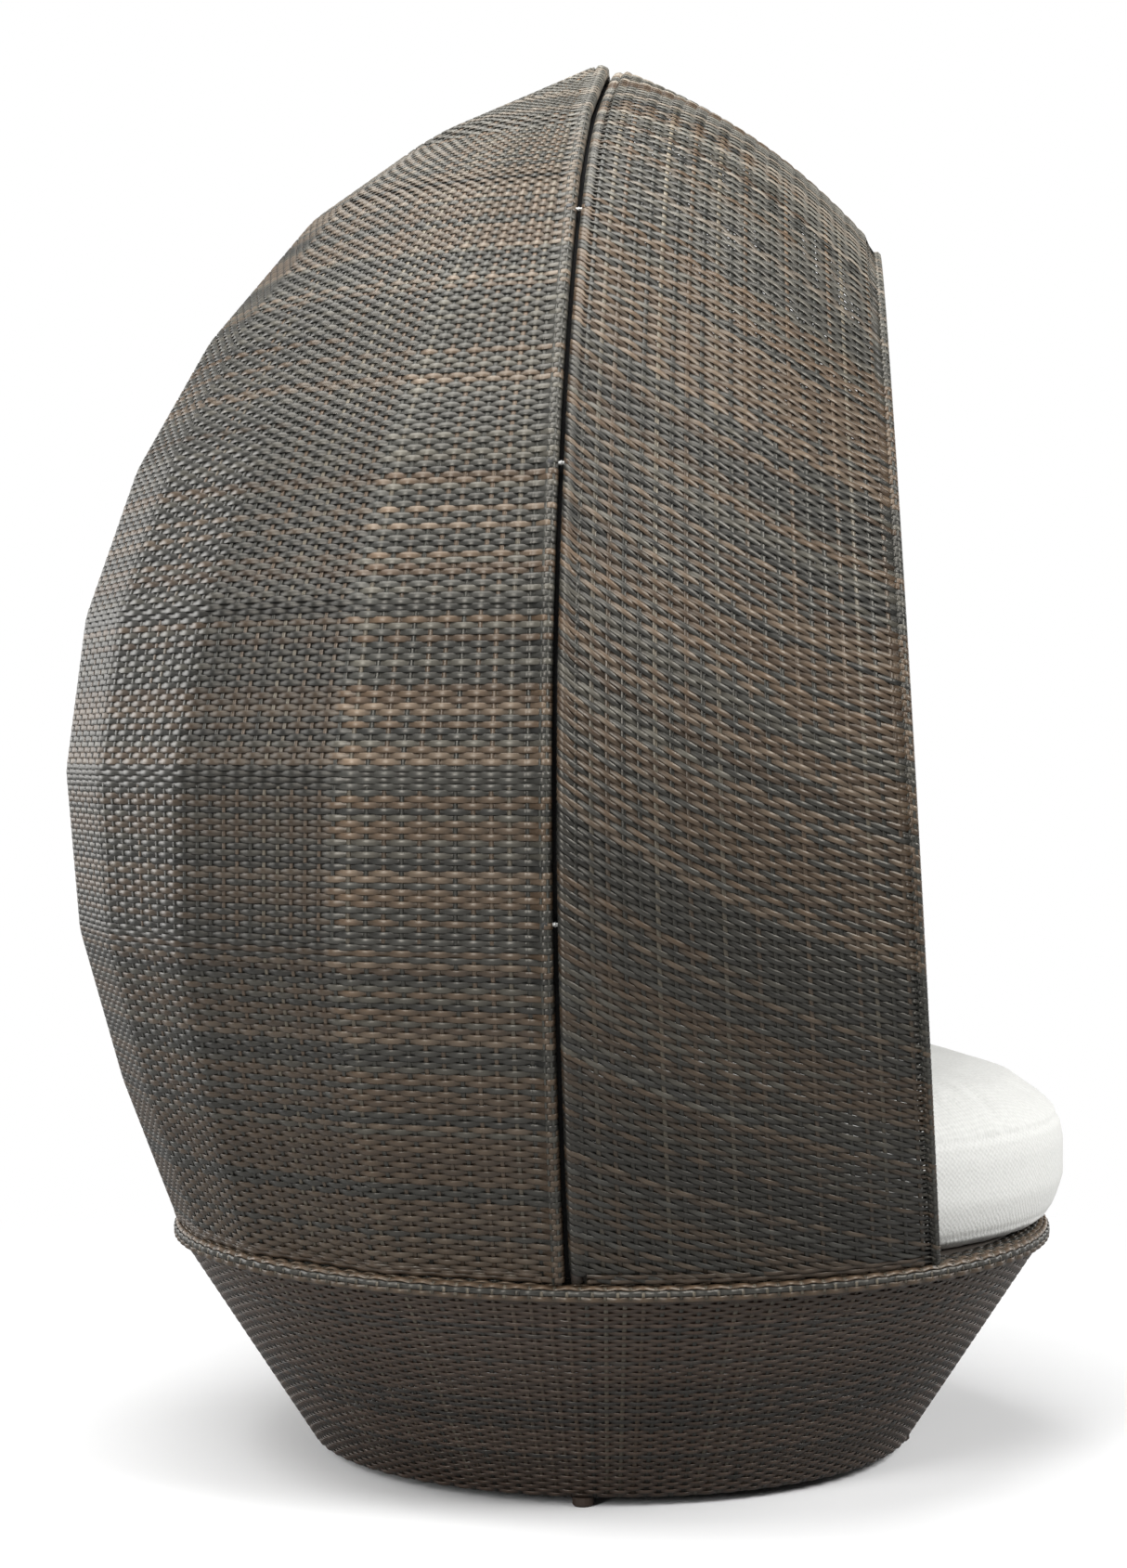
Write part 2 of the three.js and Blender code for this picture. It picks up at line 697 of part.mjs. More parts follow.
function makeFrontShell() {
  const keepOff = [archBar(frontArchPoints, clearance), archBar(mouthArchPoints, clearance)];
  place('front_seam_arch', cut(archBar(frontArchPoints), groundBlock(), ...studBores(-1)), 'wrap');
  place('front_mouth_arch', cut(archBar(mouthArchPoints), groundBlock()), 'wrap');

  const seamTurn = THREE.MathUtils.radToDeg(Math.asin(archPlane / railArcRadius));
  const mouthTurn = THREE.MathUtils.radToDeg(Math.asin(mouthFootReach / railArcRadius));
  const railPath = Array.from({ length: railSteps + 1 }, (_, i) => (
    round(railArcRadius, -THREE.MathUtils.lerp(seamTurn, mouthTurn, i / railSteps), railHeight)
  ));
  for (const [side, path] of Object.entries({ left: railPath, right: railPath.map(mirrored) })) {
    const rail = cut(bar(path, railRadius, tubeSides), ...keepOff, ...baseBoltHoles());
    place(`front_foot_rail_${side}`, rail, 'frame');
  }

  const stayGrid = stepInFront(weaveThickness + frameClearance + stayRadius);
  const sideRow = Math.round((sideStayShare * frontRows) / 2);
  const stays = { left: sideRow, crest: frontRows / 2, right: frontRows - sideRow };
  for (const [side, row] of Object.entries(stays)) {
    const path = stayGrid[row];
    const beyond = (end, next) => end.clone().addScaledVector(end.clone().sub(next).normalize(), skinEdge);
    const whole = [beyond(path[0], path[1]), ...path, beyond(path.at(-1), path.at(-2))];
    place(`front_stay_${side}`, cut(bar(whole, stayRadius, slimTubeSides), ...keepOff), 'frame');
  }

  place('front_canopy_weave', skinOf(frontOuter, stepInFront(weaveThickness)), 'weave');
}

function makeFasteners() {
  for (const { name, x, z } of studPlaces()) {
    const end = seamGap / 2 + studDepth;
    const face = seamGap / 2 - clearance;
    const outline = [
      [0, -end],
      [studRadius, -end],
      [studRadius, -face],
      [studCollarRadius, -face],
      [studCollarRadius, face],
      [studRadius, face],
      [studRadius, end],
      [0, end],
    ].map(([radius, along]) => new THREE.Vector2(radius, along));
    place(name, new THREE.LatheGeometry(outline, fastenerSides).translate(x, 0, z), 'bolt');
  }
  for (const { name, x, y } of baseBoltPlaces()) {
    const seat = railHeight + railRadius + clearance;
    const profile = [
      [0, topRingHeight - baseBoltGrip],
      [baseBoltRadius, topRingHeight - baseBoltGrip],
      [baseBoltRadius, seat],
      [baseBoltHeadRadius, seat],
      [baseBoltHeadRadius, seat + baseBoltHeadHeight],
      [0, seat + baseBoltHeadHeight],
    ].map(([radius, height]) => new THREE.Vector2(radius, height));
    const bolt = new THREE.LatheGeometry(profile, fastenerSides);
    place(name, bolt.rotateX(Math.PI / 2).translate(x, y, 0), 'bolt');
  }
}

// Cushion: a flat underside, a sewn side band drawn in at both seams and a domed top

function makeCushion() {
  const floor = rimTop + clearance;
  const bandMiddle = (cushionBandBottom + cushionBandTop) / 2;
  const sideRings = [
    [cushionFootDraw, 0],
    [cushionFootDraw / 2, cushionBandBottom / 3],
    [cushionSeamDraw * 2, cushionBandBottom],
    [0, (cushionBandBottom + bandMiddle) / 2],
    [0, (cushionBandTop + bandMiddle) / 2],
    [cushionSeamDraw, cushionBandTop],
  ].map(([draw, rise]) => ({ share: 1, draw, rise }));
  const crownRings = cushionCrownShares.map((share) => {
    const crown = cushionCrown * Math.sqrt(1 - share ** cushionCrownPower);
    return { share, draw: cushionSeamDraw, rise: cushionBandTop + crown };
  });
  const rings = [...sideRings, ...crownRings];
  const points = rings.flatMap(({ share, draw, rise }) => Array.from({ length: baseSides }, (_, k) => {
    const turn = (k / baseSides) * Math.PI * 2;
    const bulge = cushionBulge * Math.max(-Math.sin(turn), 0) ** cushionBulgePower;
    const radius = (cushionRadius + bulge - draw) * share;
    const [x, y] = [radius * Math.cos(turn), radius * Math.sin(turn) - cushionShift];
    return new THREE.Vector3(x, y, floor + rise);
  }));
  points.push(new THREE.Vector3(0, -cushionShift, floor));
  points.push(new THREE.Vector3(0, -cushionShift, floor + cushionBandTop + cushionCrown));
  const triangles = [];
  const top = (rings.length - 1) * baseSides;
  for (let k = 0; k < baseSides; k += 1) {
    const next = (k + 1) % baseSides;
    for (let ring = 0; ring < rings.length - 1; ring += 1) {
      const [low, high] = [ring * baseSides, (ring + 1) * baseSides];
      triangles.push([low + k, low + next, high + next], [low + k, high + next, high + k]);
    }
    triangles.push([points.length - 2, next, k], [points.length - 1, top + k, top + next]);
  }
  place('seat_cushion', geometryFrom(points, triangles), 'cushion');
}

makeFeet();
makeBase();
makeRearShell();
makeFrontShell();
makeFasteners();
makeCushion();

export default daybed;
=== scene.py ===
# Looks of an outdoor daybed: a woven round base, a woven canopy in two shells, a round cushion.
# Metres, +Z up. Shapes are worked out about the axis of the base, then moved to the part's frame.

import math

import bpy
import numpy as np
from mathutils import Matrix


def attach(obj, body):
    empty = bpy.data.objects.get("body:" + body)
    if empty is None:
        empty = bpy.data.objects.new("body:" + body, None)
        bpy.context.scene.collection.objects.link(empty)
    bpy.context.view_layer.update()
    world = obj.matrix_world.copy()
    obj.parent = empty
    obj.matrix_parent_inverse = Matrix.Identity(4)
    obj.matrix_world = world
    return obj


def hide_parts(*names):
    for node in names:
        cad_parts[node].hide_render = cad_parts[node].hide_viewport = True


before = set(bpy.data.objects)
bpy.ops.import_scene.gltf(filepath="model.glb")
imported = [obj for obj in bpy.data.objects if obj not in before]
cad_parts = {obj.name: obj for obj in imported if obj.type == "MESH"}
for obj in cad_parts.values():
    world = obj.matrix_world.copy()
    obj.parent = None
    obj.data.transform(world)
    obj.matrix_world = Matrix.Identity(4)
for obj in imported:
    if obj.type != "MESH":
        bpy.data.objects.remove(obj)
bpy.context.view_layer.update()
scene = bpy.context.scene
chance = np.random.default_rng(11)
axisShift = np.array([0.0, -0.073, 0.0])  # from the axis of the base to the middle of the whole box
mirror = np.array([-1.0, 1.0, 1.0])  # left to right
seamNormal = np.array([0, 1.0, 0])
print("frame loaded:", len(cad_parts), "nodes")


# Camera, floor and light

view = dict(distance=4.778, azimuth=5.0, height=1.098, yaw=0.913, pitch=0.618, lens=68.2, sensor=36,
            clipEnd=100)
studio = dict(world=0.07, floorSize=60, floorTone=0.97, bounceTone=0.38, floorClear=(0.95, 2.5),
              aim=(0, 0, 1.0))
lamps = dict(
    left=dict(place=(-5.1, 2.40, 2.6), size=(1.1, 3.0), power=210),
    right=dict(place=(-2.5, -4.3, 4.1), size=(2.4, 2.4), power=262),
    above=dict(place=(-0.7, 1.0, 5.3), size=(4.4, 4.4), power=286),
    leftBack=dict(place=(2.2, 5.8, 2.2), size=(4.6, 3.6), power=205),
    mouth=dict(place=(3.4, -4.9, 2.0), size=(3.0, 3.0), power=120),
)


def makeCamera():
    data = bpy.data.cameras.new("photoCamera")
    data.lens, data.sensor_width, data.clip_end = view["lens"], view["sensor"], view["clipEnd"]
    camera = bpy.data.objects.new("photoCamera", data)
    turn = math.radians(view["azimuth"])
    camera.location = (-view["distance"] * math.cos(turn),
                       axisShift[1] - view["distance"] * math.sin(turn), view["height"])
    camera.rotation_euler = (math.radians(90 - view["pitch"]), 0,
                             turn + math.radians(view["yaw"] - 90))
    scene.collection.objects.link(camera)
    scene.camera = camera


# Shader maths on sockets, and one method for every other node

class Wire:
    def __init__(self, finish, socket):
        self.finish, self.socket = finish, socket

    def maths(self, kind, other, swapped=False):
        pair = (other, self) if swapped else (self, other)
        return self.finish.node("Math", dict(operation=kind), {0: pair[0], 1: pair[1]})

    def __add__(self, other): return self.maths("ADD", other)
    def __radd__(self, other): return self.maths("ADD", other, True)
    def __sub__(self, other): return self.maths("SUBTRACT", other)
    def __rsub__(self, other): return self.maths("SUBTRACT", other, True)
    def __mul__(self, other): return self.maths("MULTIPLY", other)
    def __rmul__(self, other): return self.maths("MULTIPLY", other, True)


class Finish:
    def __init__(self, name, **shader):
        self.material = bpy.data.materials.new(name)
        self.material.use_nodes = True
        self.nodes, self.links = self.material.node_tree.nodes, self.material.node_tree.links
        self.shader = self.nodes["Principled BSDF"]
        for socket, value in shader.items():
            self.shader.inputs[socket.replace("_", " ")].default_value = value

    def node(self, kind, settings, inputs, output=0):
        made = self.nodes.new("ShaderNode" + kind)
        for key, value in settings.items():
            setattr(made, key, value)
        for key, value in inputs.items():
            if isinstance(value, Wire):
                self.links.new(value.socket, made.inputs[key])
            else:
                made.inputs[key].default_value = value
        return Wire(self, made.outputs[output])

    def attribute(self, name, output=2):
        return self.node("Attribute", dict(attribute_name=name), {}, output)

    def place(self):
        return self.node("TexCoord", {}, {}, "Object")

    def vector(self, x, y, z):
        return self.node("CombineXYZ", {}, {0: x, 1: y, 2: z})

    def noise(self, at, scale, detail=2.0):
        return self.node("TexNoise", {}, {"Vector": at, "Scale": scale, "Detail": detail})

    def wave(self, kind, value):
        return self.node("Math", dict(operation=kind), {0: value})

    def step(self, value, low, high):
        return self.node("MapRange", dict(interpolation_type="SMOOTHSTEP"),
                         {"Value": value, "From Min": low, "From Max": high})

    def scaled(self, colour, amount):
        return self.node("VectorMath", dict(operation="SCALE"), {0: colour, "Scale": amount})

    def mixed(self, amount, low, high):
        return self.node("Mix", dict(data_type="RGBA"),
                         {0: amount, 6: (*low, 1), 7: (*high, 1)}, 2)

    def bump(self, height, strength, distance):
        return self.node("Bump", {}, {"Height": height, "Strength": strength,
                                                "Distance": distance})

    def feed(self, **wires):
        for socket, wire in wires.items():
            self.links.new(wire.socket, self.shader.inputs[socket.replace("_", " ")])
        return self.material


# Strands and bars: a section swept along a path, many of them in one mesh

flatSection = [(-1, 0), (-0.74, 0.86), (0.74, 0.86), (1, 0), (0.74, -0.86), (-0.74, -0.86)]
roundSection = [(math.cos(turn), math.sin(turn))
                for turn in np.linspace(math.pi, -math.pi, 15)[:-1]]
streakShift = 0.013  # moves the streaks on from strand to strand, so that no two are alike


def unit(vectors):
    return vectors / np.maximum(np.linalg.norm(vectors, axis=-1, keepdims=True), 1e-9)


def arcLength(points):
    return np.concatenate([[0], np.cumsum(np.linalg.norm(np.diff(points, axis=0), axis=1))])


class Strands:
    def __init__(self, section=flatSection):
        self.section = np.array(section)
        self.points, self.colours, self.along, self.across, self.wave = [], [], [], [], []
        self.quads, self.caps, self.count = [], [], 0

    def add(self, path, up, wide, colour, thick=None, wave=0.0):
        steps, sides = len(path), len(self.section)
        thick = weave["thickness"] / 2 if thick is None else thick
        tangent = unit(np.gradient(path, axis=0))
        side = unit(np.cross(up, tangent))
        lift = unit(np.cross(tangent, side))
        wide, thick = (np.broadcast_to(size, steps)[:, None, None] for size in (wide, thick))
        ring = path[:, None] + side[:, None] * wide * self.section[:, :1] \
            + lift[:, None] * thick * self.section[:, 1:]
        order = self.count + np.arange(steps * sides).reshape(steps, sides)
        following = np.roll(order, -1, 1)
        self.quads.append(np.stack([order[:-1], order[1:], following[1:], following[:-1]],
                                   -1).reshape(-1, 4))
        self.caps += [order[0], order[-1][::-1]]
        self.points.append(ring.reshape(-1, 3))
        self.along.append(np.repeat(arcLength(path) + self.count * streakShift, sides))
        self.across.append(np.tile(self.section[:, 0], steps))
        self.wave.append(np.repeat(np.broadcast_to(wave, steps), sides))
        self.colours.append(np.repeat(np.broadcast_to(colour, (steps, 3)), sides, 0))
        self.count += steps * sides

    def build(self, name, material, body="daybed"):
        mesh = bpy.data.meshes.new(name)
        points = np.concatenate(self.points) + axisShift
        quads, caps = np.concatenate(self.quads), np.array(self.caps)
        loops = np.concatenate([quads.reshape(-1), caps.reshape(-1)])
        starts = np.concatenate([np.arange(len(quads)) * 4,
                                 quads.size + np.arange(len(caps)) * len(self.section)])
        mesh.vertices.add(len(points))
        mesh.vertices.foreach_set("co", points.astype(np.float32).reshape(-1))
        mesh.loops.add(len(loops))
        mesh.loops.foreach_set("vertex_index", loops.astype(np.int32))
        mesh.polygons.add(len(starts))
        mesh.polygons.foreach_set("loop_start", starts.astype(np.int32))
        mesh.update(calc_edges=True)
        mesh.shade_smooth()
        colours = np.ones((len(points), 4), np.float32)
        colours[:, :3] = np.concatenate(self.colours)
        mesh.attributes.new("strandColour", "FLOAT_COLOR", "POINT").data.foreach_set(
            "color", colours.reshape(-1))
        for key, values in (("strandAlong", self.along), ("strandAcross", self.across),
                            ("strandWave", self.wave)):
            mesh.attributes.new(key, "FLOAT", "POINT").data.foreach_set(
                "value", np.concatenate(values).astype(np.float32))
        mesh.materials.append(material)
        piece = bpy.data.objects.new(name, mesh)
        scene.collection.objects.link(piece)
        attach(piece, body)
        print(name, len(quads) * 2, "triangles")
        return piece


# Canopy shape: profile of the two shells and the facets of the rear one

canopy = dict(
    foot=0.3643, bulge=1.069, peak=2.2, rimRadius=0.694, bulgeRadius=0.866,
    lowerHeights=(0, 0.316, 0.65, 1), lowerRadii=(0, 0.494, 0.878, 1),
    upperHeights=(0.21, 0.412, 0.59, 0.763, 0.879, 1),
    upperRadii=(0.965, 0.874, 0.744, 0.557, 0.352, 0),
    ribFoot=(23, 45, 59, 74), ribTop=(17, 35, 53, 71), ribTopLevel=6, crownRise=0.011,
    ridgeEase=0.011, leastFacet=0.02, mostEase=0.4, probe=(0.02, 0.004),
    skin=0.006, archPlane=0.0135, skinPlane=0.0238,
    mouthFoot=0.508, mouthTop=0.420, mouthHeight=1.9, crestDrop=0.09, halvings=48, archSteps=1400,
)
ridgeWeights = ((-1, 0.25), (0, 0.5), (1, 0.25))
facets = 10


def between(low, high, shares):
    return low + np.array(shares) * (high - low)


levelZ = np.concatenate([between(canopy["foot"], canopy["bulge"], canopy["lowerHeights"]),
                         between(canopy["bulge"], canopy["peak"], canopy["upperHeights"])])
levelR = np.concatenate([between(canopy["rimRadius"], canopy["bulgeRadius"], canopy["lowerRadii"]),
                         between(0, canopy["bulgeRadius"], canopy["upperRadii"])])
top = len(levelZ) - 1
ahead, behind = np.minimum(np.arange(top + 1) + 1, top), np.maximum(np.arange(top + 1) - 1, 0)
levelSlope = (levelR[ahead] - levelR[behind]) / (levelZ[ahead] - levelZ[behind])


def smoothRadius(z):
    i = np.clip(np.searchsorted(levelZ, z, side="right") - 1, 0, top - 1)
    span = levelZ[i + 1] - levelZ[i]
    t = np.clip((z - levelZ[i]) / span, 0, 1)
    radius = ((2 * t**3 - 3 * t**2 + 1) * levelR[i] + (t**3 - 2 * t**2 + t) * span * levelSlope[i]
              + (3 * t**2 - 2 * t**3) * levelR[i + 1] + (t**3 - t**2) * span * levelSlope[i + 1])
    return np.maximum(radius, 0)


def rearCorners():
    skin = canopy["skinPlane"]
    corners = np.zeros((top + 1, facets + 1, 3))
    for level, (z, radius) in enumerate(zip(levelZ, levelR)):
        t = np.clip((z - canopy["foot"]) / (levelZ[canopy["ribTopLevel"]] - canopy["foot"]), 0, 1)
        half = np.array(canopy["ribFoot"]) * (1 - t) + np.array(canopy["ribTop"]) * t
        turn = np.radians(np.concatenate([half, [90], 180 - half[::-1]]))
        reach = math.sqrt(max(radius**2 - skin**2, 0))
        corners[level, 0], corners[level, facets] = (-reach, skin, z), (reach, skin, z)
        corners[level, 1:facets] = np.stack([-radius * np.cos(turn), radius * np.sin(turn),
                                             np.full(facets - 1, z)], -1)
    slope = (canopy["peak"] - levelZ[top - 1]) / levelR[top - 1]
    corners[top] = (0, skin, canopy["peak"] - slope * skin + canopy["crownRise"])
    return corners


rearGrid = rearCorners()
rearZ = rearGrid[:, 0, 2]
rearProfile = np.stack([levelR, np.append(levelZ[:top], rearZ[top])], -1)


def rearFlat(u, z):
    u, z = np.broadcast_arrays(np.clip(u, 0, facets), np.clip(z, rearZ[0], rearZ[top]))
    column = np.clip(u.astype(int), 0, facets - 1)
    level = np.clip(np.searchsorted(rearZ, z, side="right") - 1, 0, top - 1)
    across = (u - column)[..., None]
    up = ((z - rearZ[level]) / (rearZ[level + 1] - rearZ[level]))[..., None]
    low = rearGrid[level, column] * (1 - across) + rearGrid[level, column + 1] * across
    high = rearGrid[level + 1, column] * (1 - across) + rearGrid[level + 1, column + 1] * across
    return low * (1 - up) + high * up


def rearRound(u, z):
    # the facets with their ridges eased over the ribs and rungs
    u, z = np.broadcast_arrays(np.asarray(u, float), np.asarray(z, float))
    ease = canopy["ridgeEase"]
    column = np.clip(u.astype(int), 0, facets - 1)
    width = np.linalg.norm(rearFlat(column + 1.0, z) - rearFlat(column + 0.0, z), axis=-1)
    stepU = np.minimum(ease / np.maximum(width, canopy["leastFacet"]), canopy["mostEase"])
    stepU = np.minimum(stepU, np.minimum(u, facets - u))
    stepZ = np.minimum(ease, np.minimum(z - rearZ[0], rearZ[top] - z))
    return sum(weightU * weightZ * rearFlat(u + i * stepU, z + j * stepZ)
               for i, weightU in ridgeWeights for j, weightZ in ridgeWeights)


def rearSkin(u, z):
    # middle of the woven skin and its outward normal
    turn, rise = canopy["probe"]
    right, left = (rearRound(np.clip(u + step, 0, facets), z) for step in (turn, -turn))
    above, below = (rearRound(u, z + step) for step in (rise, -rise))
    normal = unit(np.cross(above - below, right - left))
    return rearRound(u, z) - normal * canopy["skin"] / 2, normal


# Front shell: arches cut by planes between the mouth and the seam

def mouthShare(z):
    return (z - canopy["foot"]) / (canopy["mouthHeight"] - canopy["foot"])


def mouthPlane(z):
    return -(canopy["mouthFoot"] + (canopy["mouthTop"] - canopy["mouthFoot"]) * mouthShare(z))


def frontRadius(y, z):
    toneLevel = np.maximum(mouthShare(z), 0)
    return smoothRadius(z + canopy["crestDrop"] * (np.minimum(y, 0) / canopy["mouthTop"])**2 * toneLevel)


def halfArch(plane, count):
    # points from the left foot to the crest, equally spaced
    low, high = canopy["bulge"], canopy["peak"]
    for _ in range(canopy["halvings"]):
        middle = (low + high) / 2
        if frontRadius(plane(middle), middle) > abs(plane(middle)):
            low = middle
        else:
            high = middle
    rise = np.sin(np.linspace(0, math.pi / 2, canopy["archSteps"]))
    z = canopy["foot"] + (low - canopy["foot"]) * rise
    y = plane(z)
    x = -np.sqrt(np.maximum(frontRadius(y, z)**2 - y**2, 0))
    x[-1] = 0
    fine = np.stack([x, y + z * 0, z], -1)
    length = arcLength(fine)
    wanted = np.linspace(0, length[-1], count)
    return np.stack([np.interp(wanted, length, fine[:, k]) for k in range(3)], -1)


def archLine(points, planeNormal, crestInset):
    # centre line of a bar along an arch, lower at the crest, and its outward normal in the plane
    tangent = unit(np.gradient(points, axis=0))
    normal = unit(np.cross(tangent, planeNormal))
    inset = weave["archInset"] + crestInset * np.maximum(normal[:, 2:], 0)**2
    return points - normal * inset, normal


def bothSides(half):
    # a half arch, and its mirror image down to the right foot
    return np.concatenate([half, half[-2::-1] * mirror])


def sampled(table, share):
    place = np.clip(share, 0, 1) * (len(table) - 1)
    low = np.clip(place.astype(int), 0, len(table) - 2)
    part = (place - low)[..., None]
    return table[low] * (1 - part) + table[low + 1] * part


# Woven skins

weave = dict(thickness=0.0021, crossing=0.0019, sink=0.45, flat=0.24, stakeWidth=0.0070,
             archInset=0.0080, seamBend=0.0097, mouthBend=0.0079, edgeGap=0.0145, wobble=0.0004,
             wobbleStep=7, coreSteps=110, coreGap=0.0011)
tubeStakes = dict(turns=(62, 116), lift=0.0011, width=0.0046, tone=1.3)
wraps = dict(end=306, steps=8, pastStake=28, behind=(176, 214, 258), lift=(-0.3, -1, 0, 1, 0.3),
             liftEnd=2.6, flattest=0.9, leastReach=1.02, tailReach=0.75, tailSink=0.0030)
tones = dict(
    brown=((0.098, 0.064, 0.039), (0.135, 0.096, 0.064), (0.066, 0.042, 0.026)),
    grey=((0.038, 0.038, 0.034), (0.072, 0.067, 0.054), (0.020, 0.021, 0.020)),
    stake=((0.085, 0.058, 0.038), (0.024, 0.025, 0.022), (0.115, 0.098, 0.072)),
    # the near-black tone of the strip behind the seam is painted shade
    bar=(0.03, 0.025, 0.02), gapShadeStrip=(0.012, 0.011, 0.010), rimStake=(0.13, 0.112, 0.083),
    rowShares=(0.5, 0.28, 0.22), stakeShares=(0.36, 0.50, 0.14),
)
# painted sheen: past the start level the rows are drawn toward a pale warm grey
paintedSheen = dict(tint=(1.05, 1.0, 0.86), alike=0.028, start=0.9, rate=0.8, most=0.75)
joins = dict(first=0.15, span=0.7, brownShare=0.45, mostPale=1.3)


def oneTone(kind):
    pick = tones[kind][chance.choice(3, p=tones["rowShares"])]
    return np.array(pick) * (0.9 + 0.2 * chance.random())


def rowTones(count, brownShare, toneLevel=((0, 1), (1, 1)), hold=0.3):
    # a kind and a tone for each row; a row sometimes keeps the kind of the one before
    kind, colours = None, []
    for row in range(count):
        if kind is None or chance.random() > hold:
            kind = "brown" if chance.random() < brownShare(row / count) else "grey"
        # painted light: the level by height darkens rows toward the foot (painted shade) and pales
        # them toward the crown (painted highlight)
        level = np.interp(row / count, *toneLevel)
        colours.append(withPaintedSheen(oneTone(kind) * level, level))
    return colours


def withPaintedSheen(colour, level):
    # painted sheen: the upper rows turn paler, greyer and more alike, standing in for the light's
    # sheen near the crown
    pale = np.array(paintedSheen["tint"]) * (0.5 * colour.mean() + paintedSheen["alike"] * level)
    share = np.clip((level - paintedSheen["start"]) * paintedSheen["rate"], 0, paintedSheen["most"])
    return colour + (pale - colour) * share


def joinedTones(colour, steps, chanceOfJoin):
    # some strands are joined on the way and go on in another tone
    colours = np.repeat([colour], steps, 0)
    if chance.random() < chanceOfJoin:
        at = int(steps * (joins["first"] + joins["span"] * chance.random()))
        other = oneTone("brown" if chance.random() < joins["brownShare"] else "grey")
        colours[at:] = other * min(1, joins["mostPale"] * colour.sum() / other.sum())
    return colours


def stakeTone():
    pick = tones["stake"][chance.choice(3, p=tones["stakeShares"])]
    return np.array(pick) * (0.8 + 0.4 * chance.random())


def roundBar(name, path, up, radius, paint, node):
    pile = Strands(roundSection)
    pile.add(path, up, radius, tones["bar"], radius)
    piece = pile.build(name, paint)
    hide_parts(node)


class Arch:
    # a tube: line from the left foot to the crest, normals in its plane, way to the skin, radius
    def __init__(self, line, normal, skinSide, bend):
        self.line, self.normal, self.skinSide, self.bend = line, normal, skinSide, bend
        self.length = arcLength(line)[-1]

    def wrap(self, share, reach, slope, parity=0):
        # a strand leaves the first stake, touches the tube and goes round it to the inside
        first = math.degrees(math.acos(min(self.bend / reach, wraps["flattest"])))
        low, high = tubeStakes["turns"]
        if parity:
            turns = np.array([(first + low) / 2, low, (low + high) / 2, high,
                              high + wraps["pastStake"], *wraps["behind"], wraps["end"]])
            lift = parity * np.append(wraps["lift"], np.zeros(len(wraps["behind"]) + 1))
        else:
            turns, lift = np.linspace(first, wraps["end"], wraps["steps"]), np.zeros(wraps["steps"])
        turns = np.radians(turns)
        radius = self.bend + tubeStakes["lift"] * (abs(parity) * (turns < wraps["liftEnd"]) + lift)
        shares = share + slope * self.bend * (turns - turns[0]) / self.length
        over = shares > 1
        shares = np.where(over, 2 - shares, shares)
        flip = np.where(over[:, None], mirror, np.ones(3))
        centre, normal = (sampled(table, shares) * flip for table in (self.line, self.normal))
        normal = unit(normal)
        spoke = normal * np.sin(turns)[:, None] + self.skinSide * np.cos(turns)[:, None]
        tail = centre[-1] + self.skinSide * reach * wraps["tailReach"] \
            - normal[-1] * wraps["tailSink"]
        return (np.concatenate([centre + spoke * radius[:, None], [tail]]),
                np.concatenate([spoke, [-normal[-1]]]))

    def core(self, name, paint):
        pick = np.linspace(0, len(self.line) - 1, weave["coreSteps"]).astype(int)
        roundBar(name.replace("arch", "core"), bothSides(self.line[pick]),
                 bothSides(self.normal[pick]), self.bend - weave["coreGap"], paint, name)

    def stakes(self, pile, every):
        # the stakes that lie on the tube, from foot to foot
        for turn in np.radians(tubeStakes["turns"]):
            spoke = (self.normal * math.sin(turn) + self.skinSide * math.cos(turn))[::every]
            half = self.line[::every] + spoke * (self.bend + tubeStakes["lift"])
            pile.add(bothSides(half), bothSides(spoke), tubeStakes["width"] / 2,
                     np.array(tones["stake"][1]) * tubeStakes["tone"])


def wobble(count):
    # a strand never lies quite straight
    knots = chance.normal(0, weave["wobble"], max(count // weave["wobbleStep"], 4))
    return np.interp(np.linspace(0, len(knots) - 1, count), np.arange(len(knots)), knots)


def turnAbout(count, start):
    # over and under by turns, along a row of that many stakes
    return np.where((np.arange(count) + start) % 2 == 0, 1.0, -1.0)


def overAndUnder(stakeAt, parity):
    # two points at each stake, both over it or both under it, and the phase of the wave there
    half = weave["flat"] * np.array([-1, 1])
    place = (stakeAt[:, None] + np.gradient(stakeAt)[:, None] * half).reshape(-1)
    wave = (np.arange(len(stakeAt))[:, None] + half + (parity[0] < 0)) * math.pi
    lift = np.where(parity > 0, 1.0, -weave["sink"])
    return place, np.repeat(lift, 2), wave.reshape(-1)


def heldWave(wave, before, after):
    # the wave rests at its top on both ends, where the strand goes round a bar
    ends = 2 * math.pi * np.round(wave[[0, -1]] / (2 * math.pi))
    return np.concatenate([np.full(before, ends[0]), wave, np.full(after, ends[1])])


footRows = dict(rear=(0.0035, 0.0105), front=(0.0016, 0.0050), proud=0.0012, halfWidth=0.0036,
                # the two tones darken the foot strands: painted shade in the crease between shell
                # and rim
                rearCreaseShade=0.8, frontTone=0.6)


def footRow(pile, path, up, lift, wave, tone):
    # a strand that binds the stakes at the foot of a shell; its tone is turned down as painted
    # shade in the crease on the rim
    pile.add(path + up * (footRows["proud"] * (1 + lift))[:, None], up,
             footRows["halfWidth"], np.array(tones["brown"][2]) * tone, wave=wave)


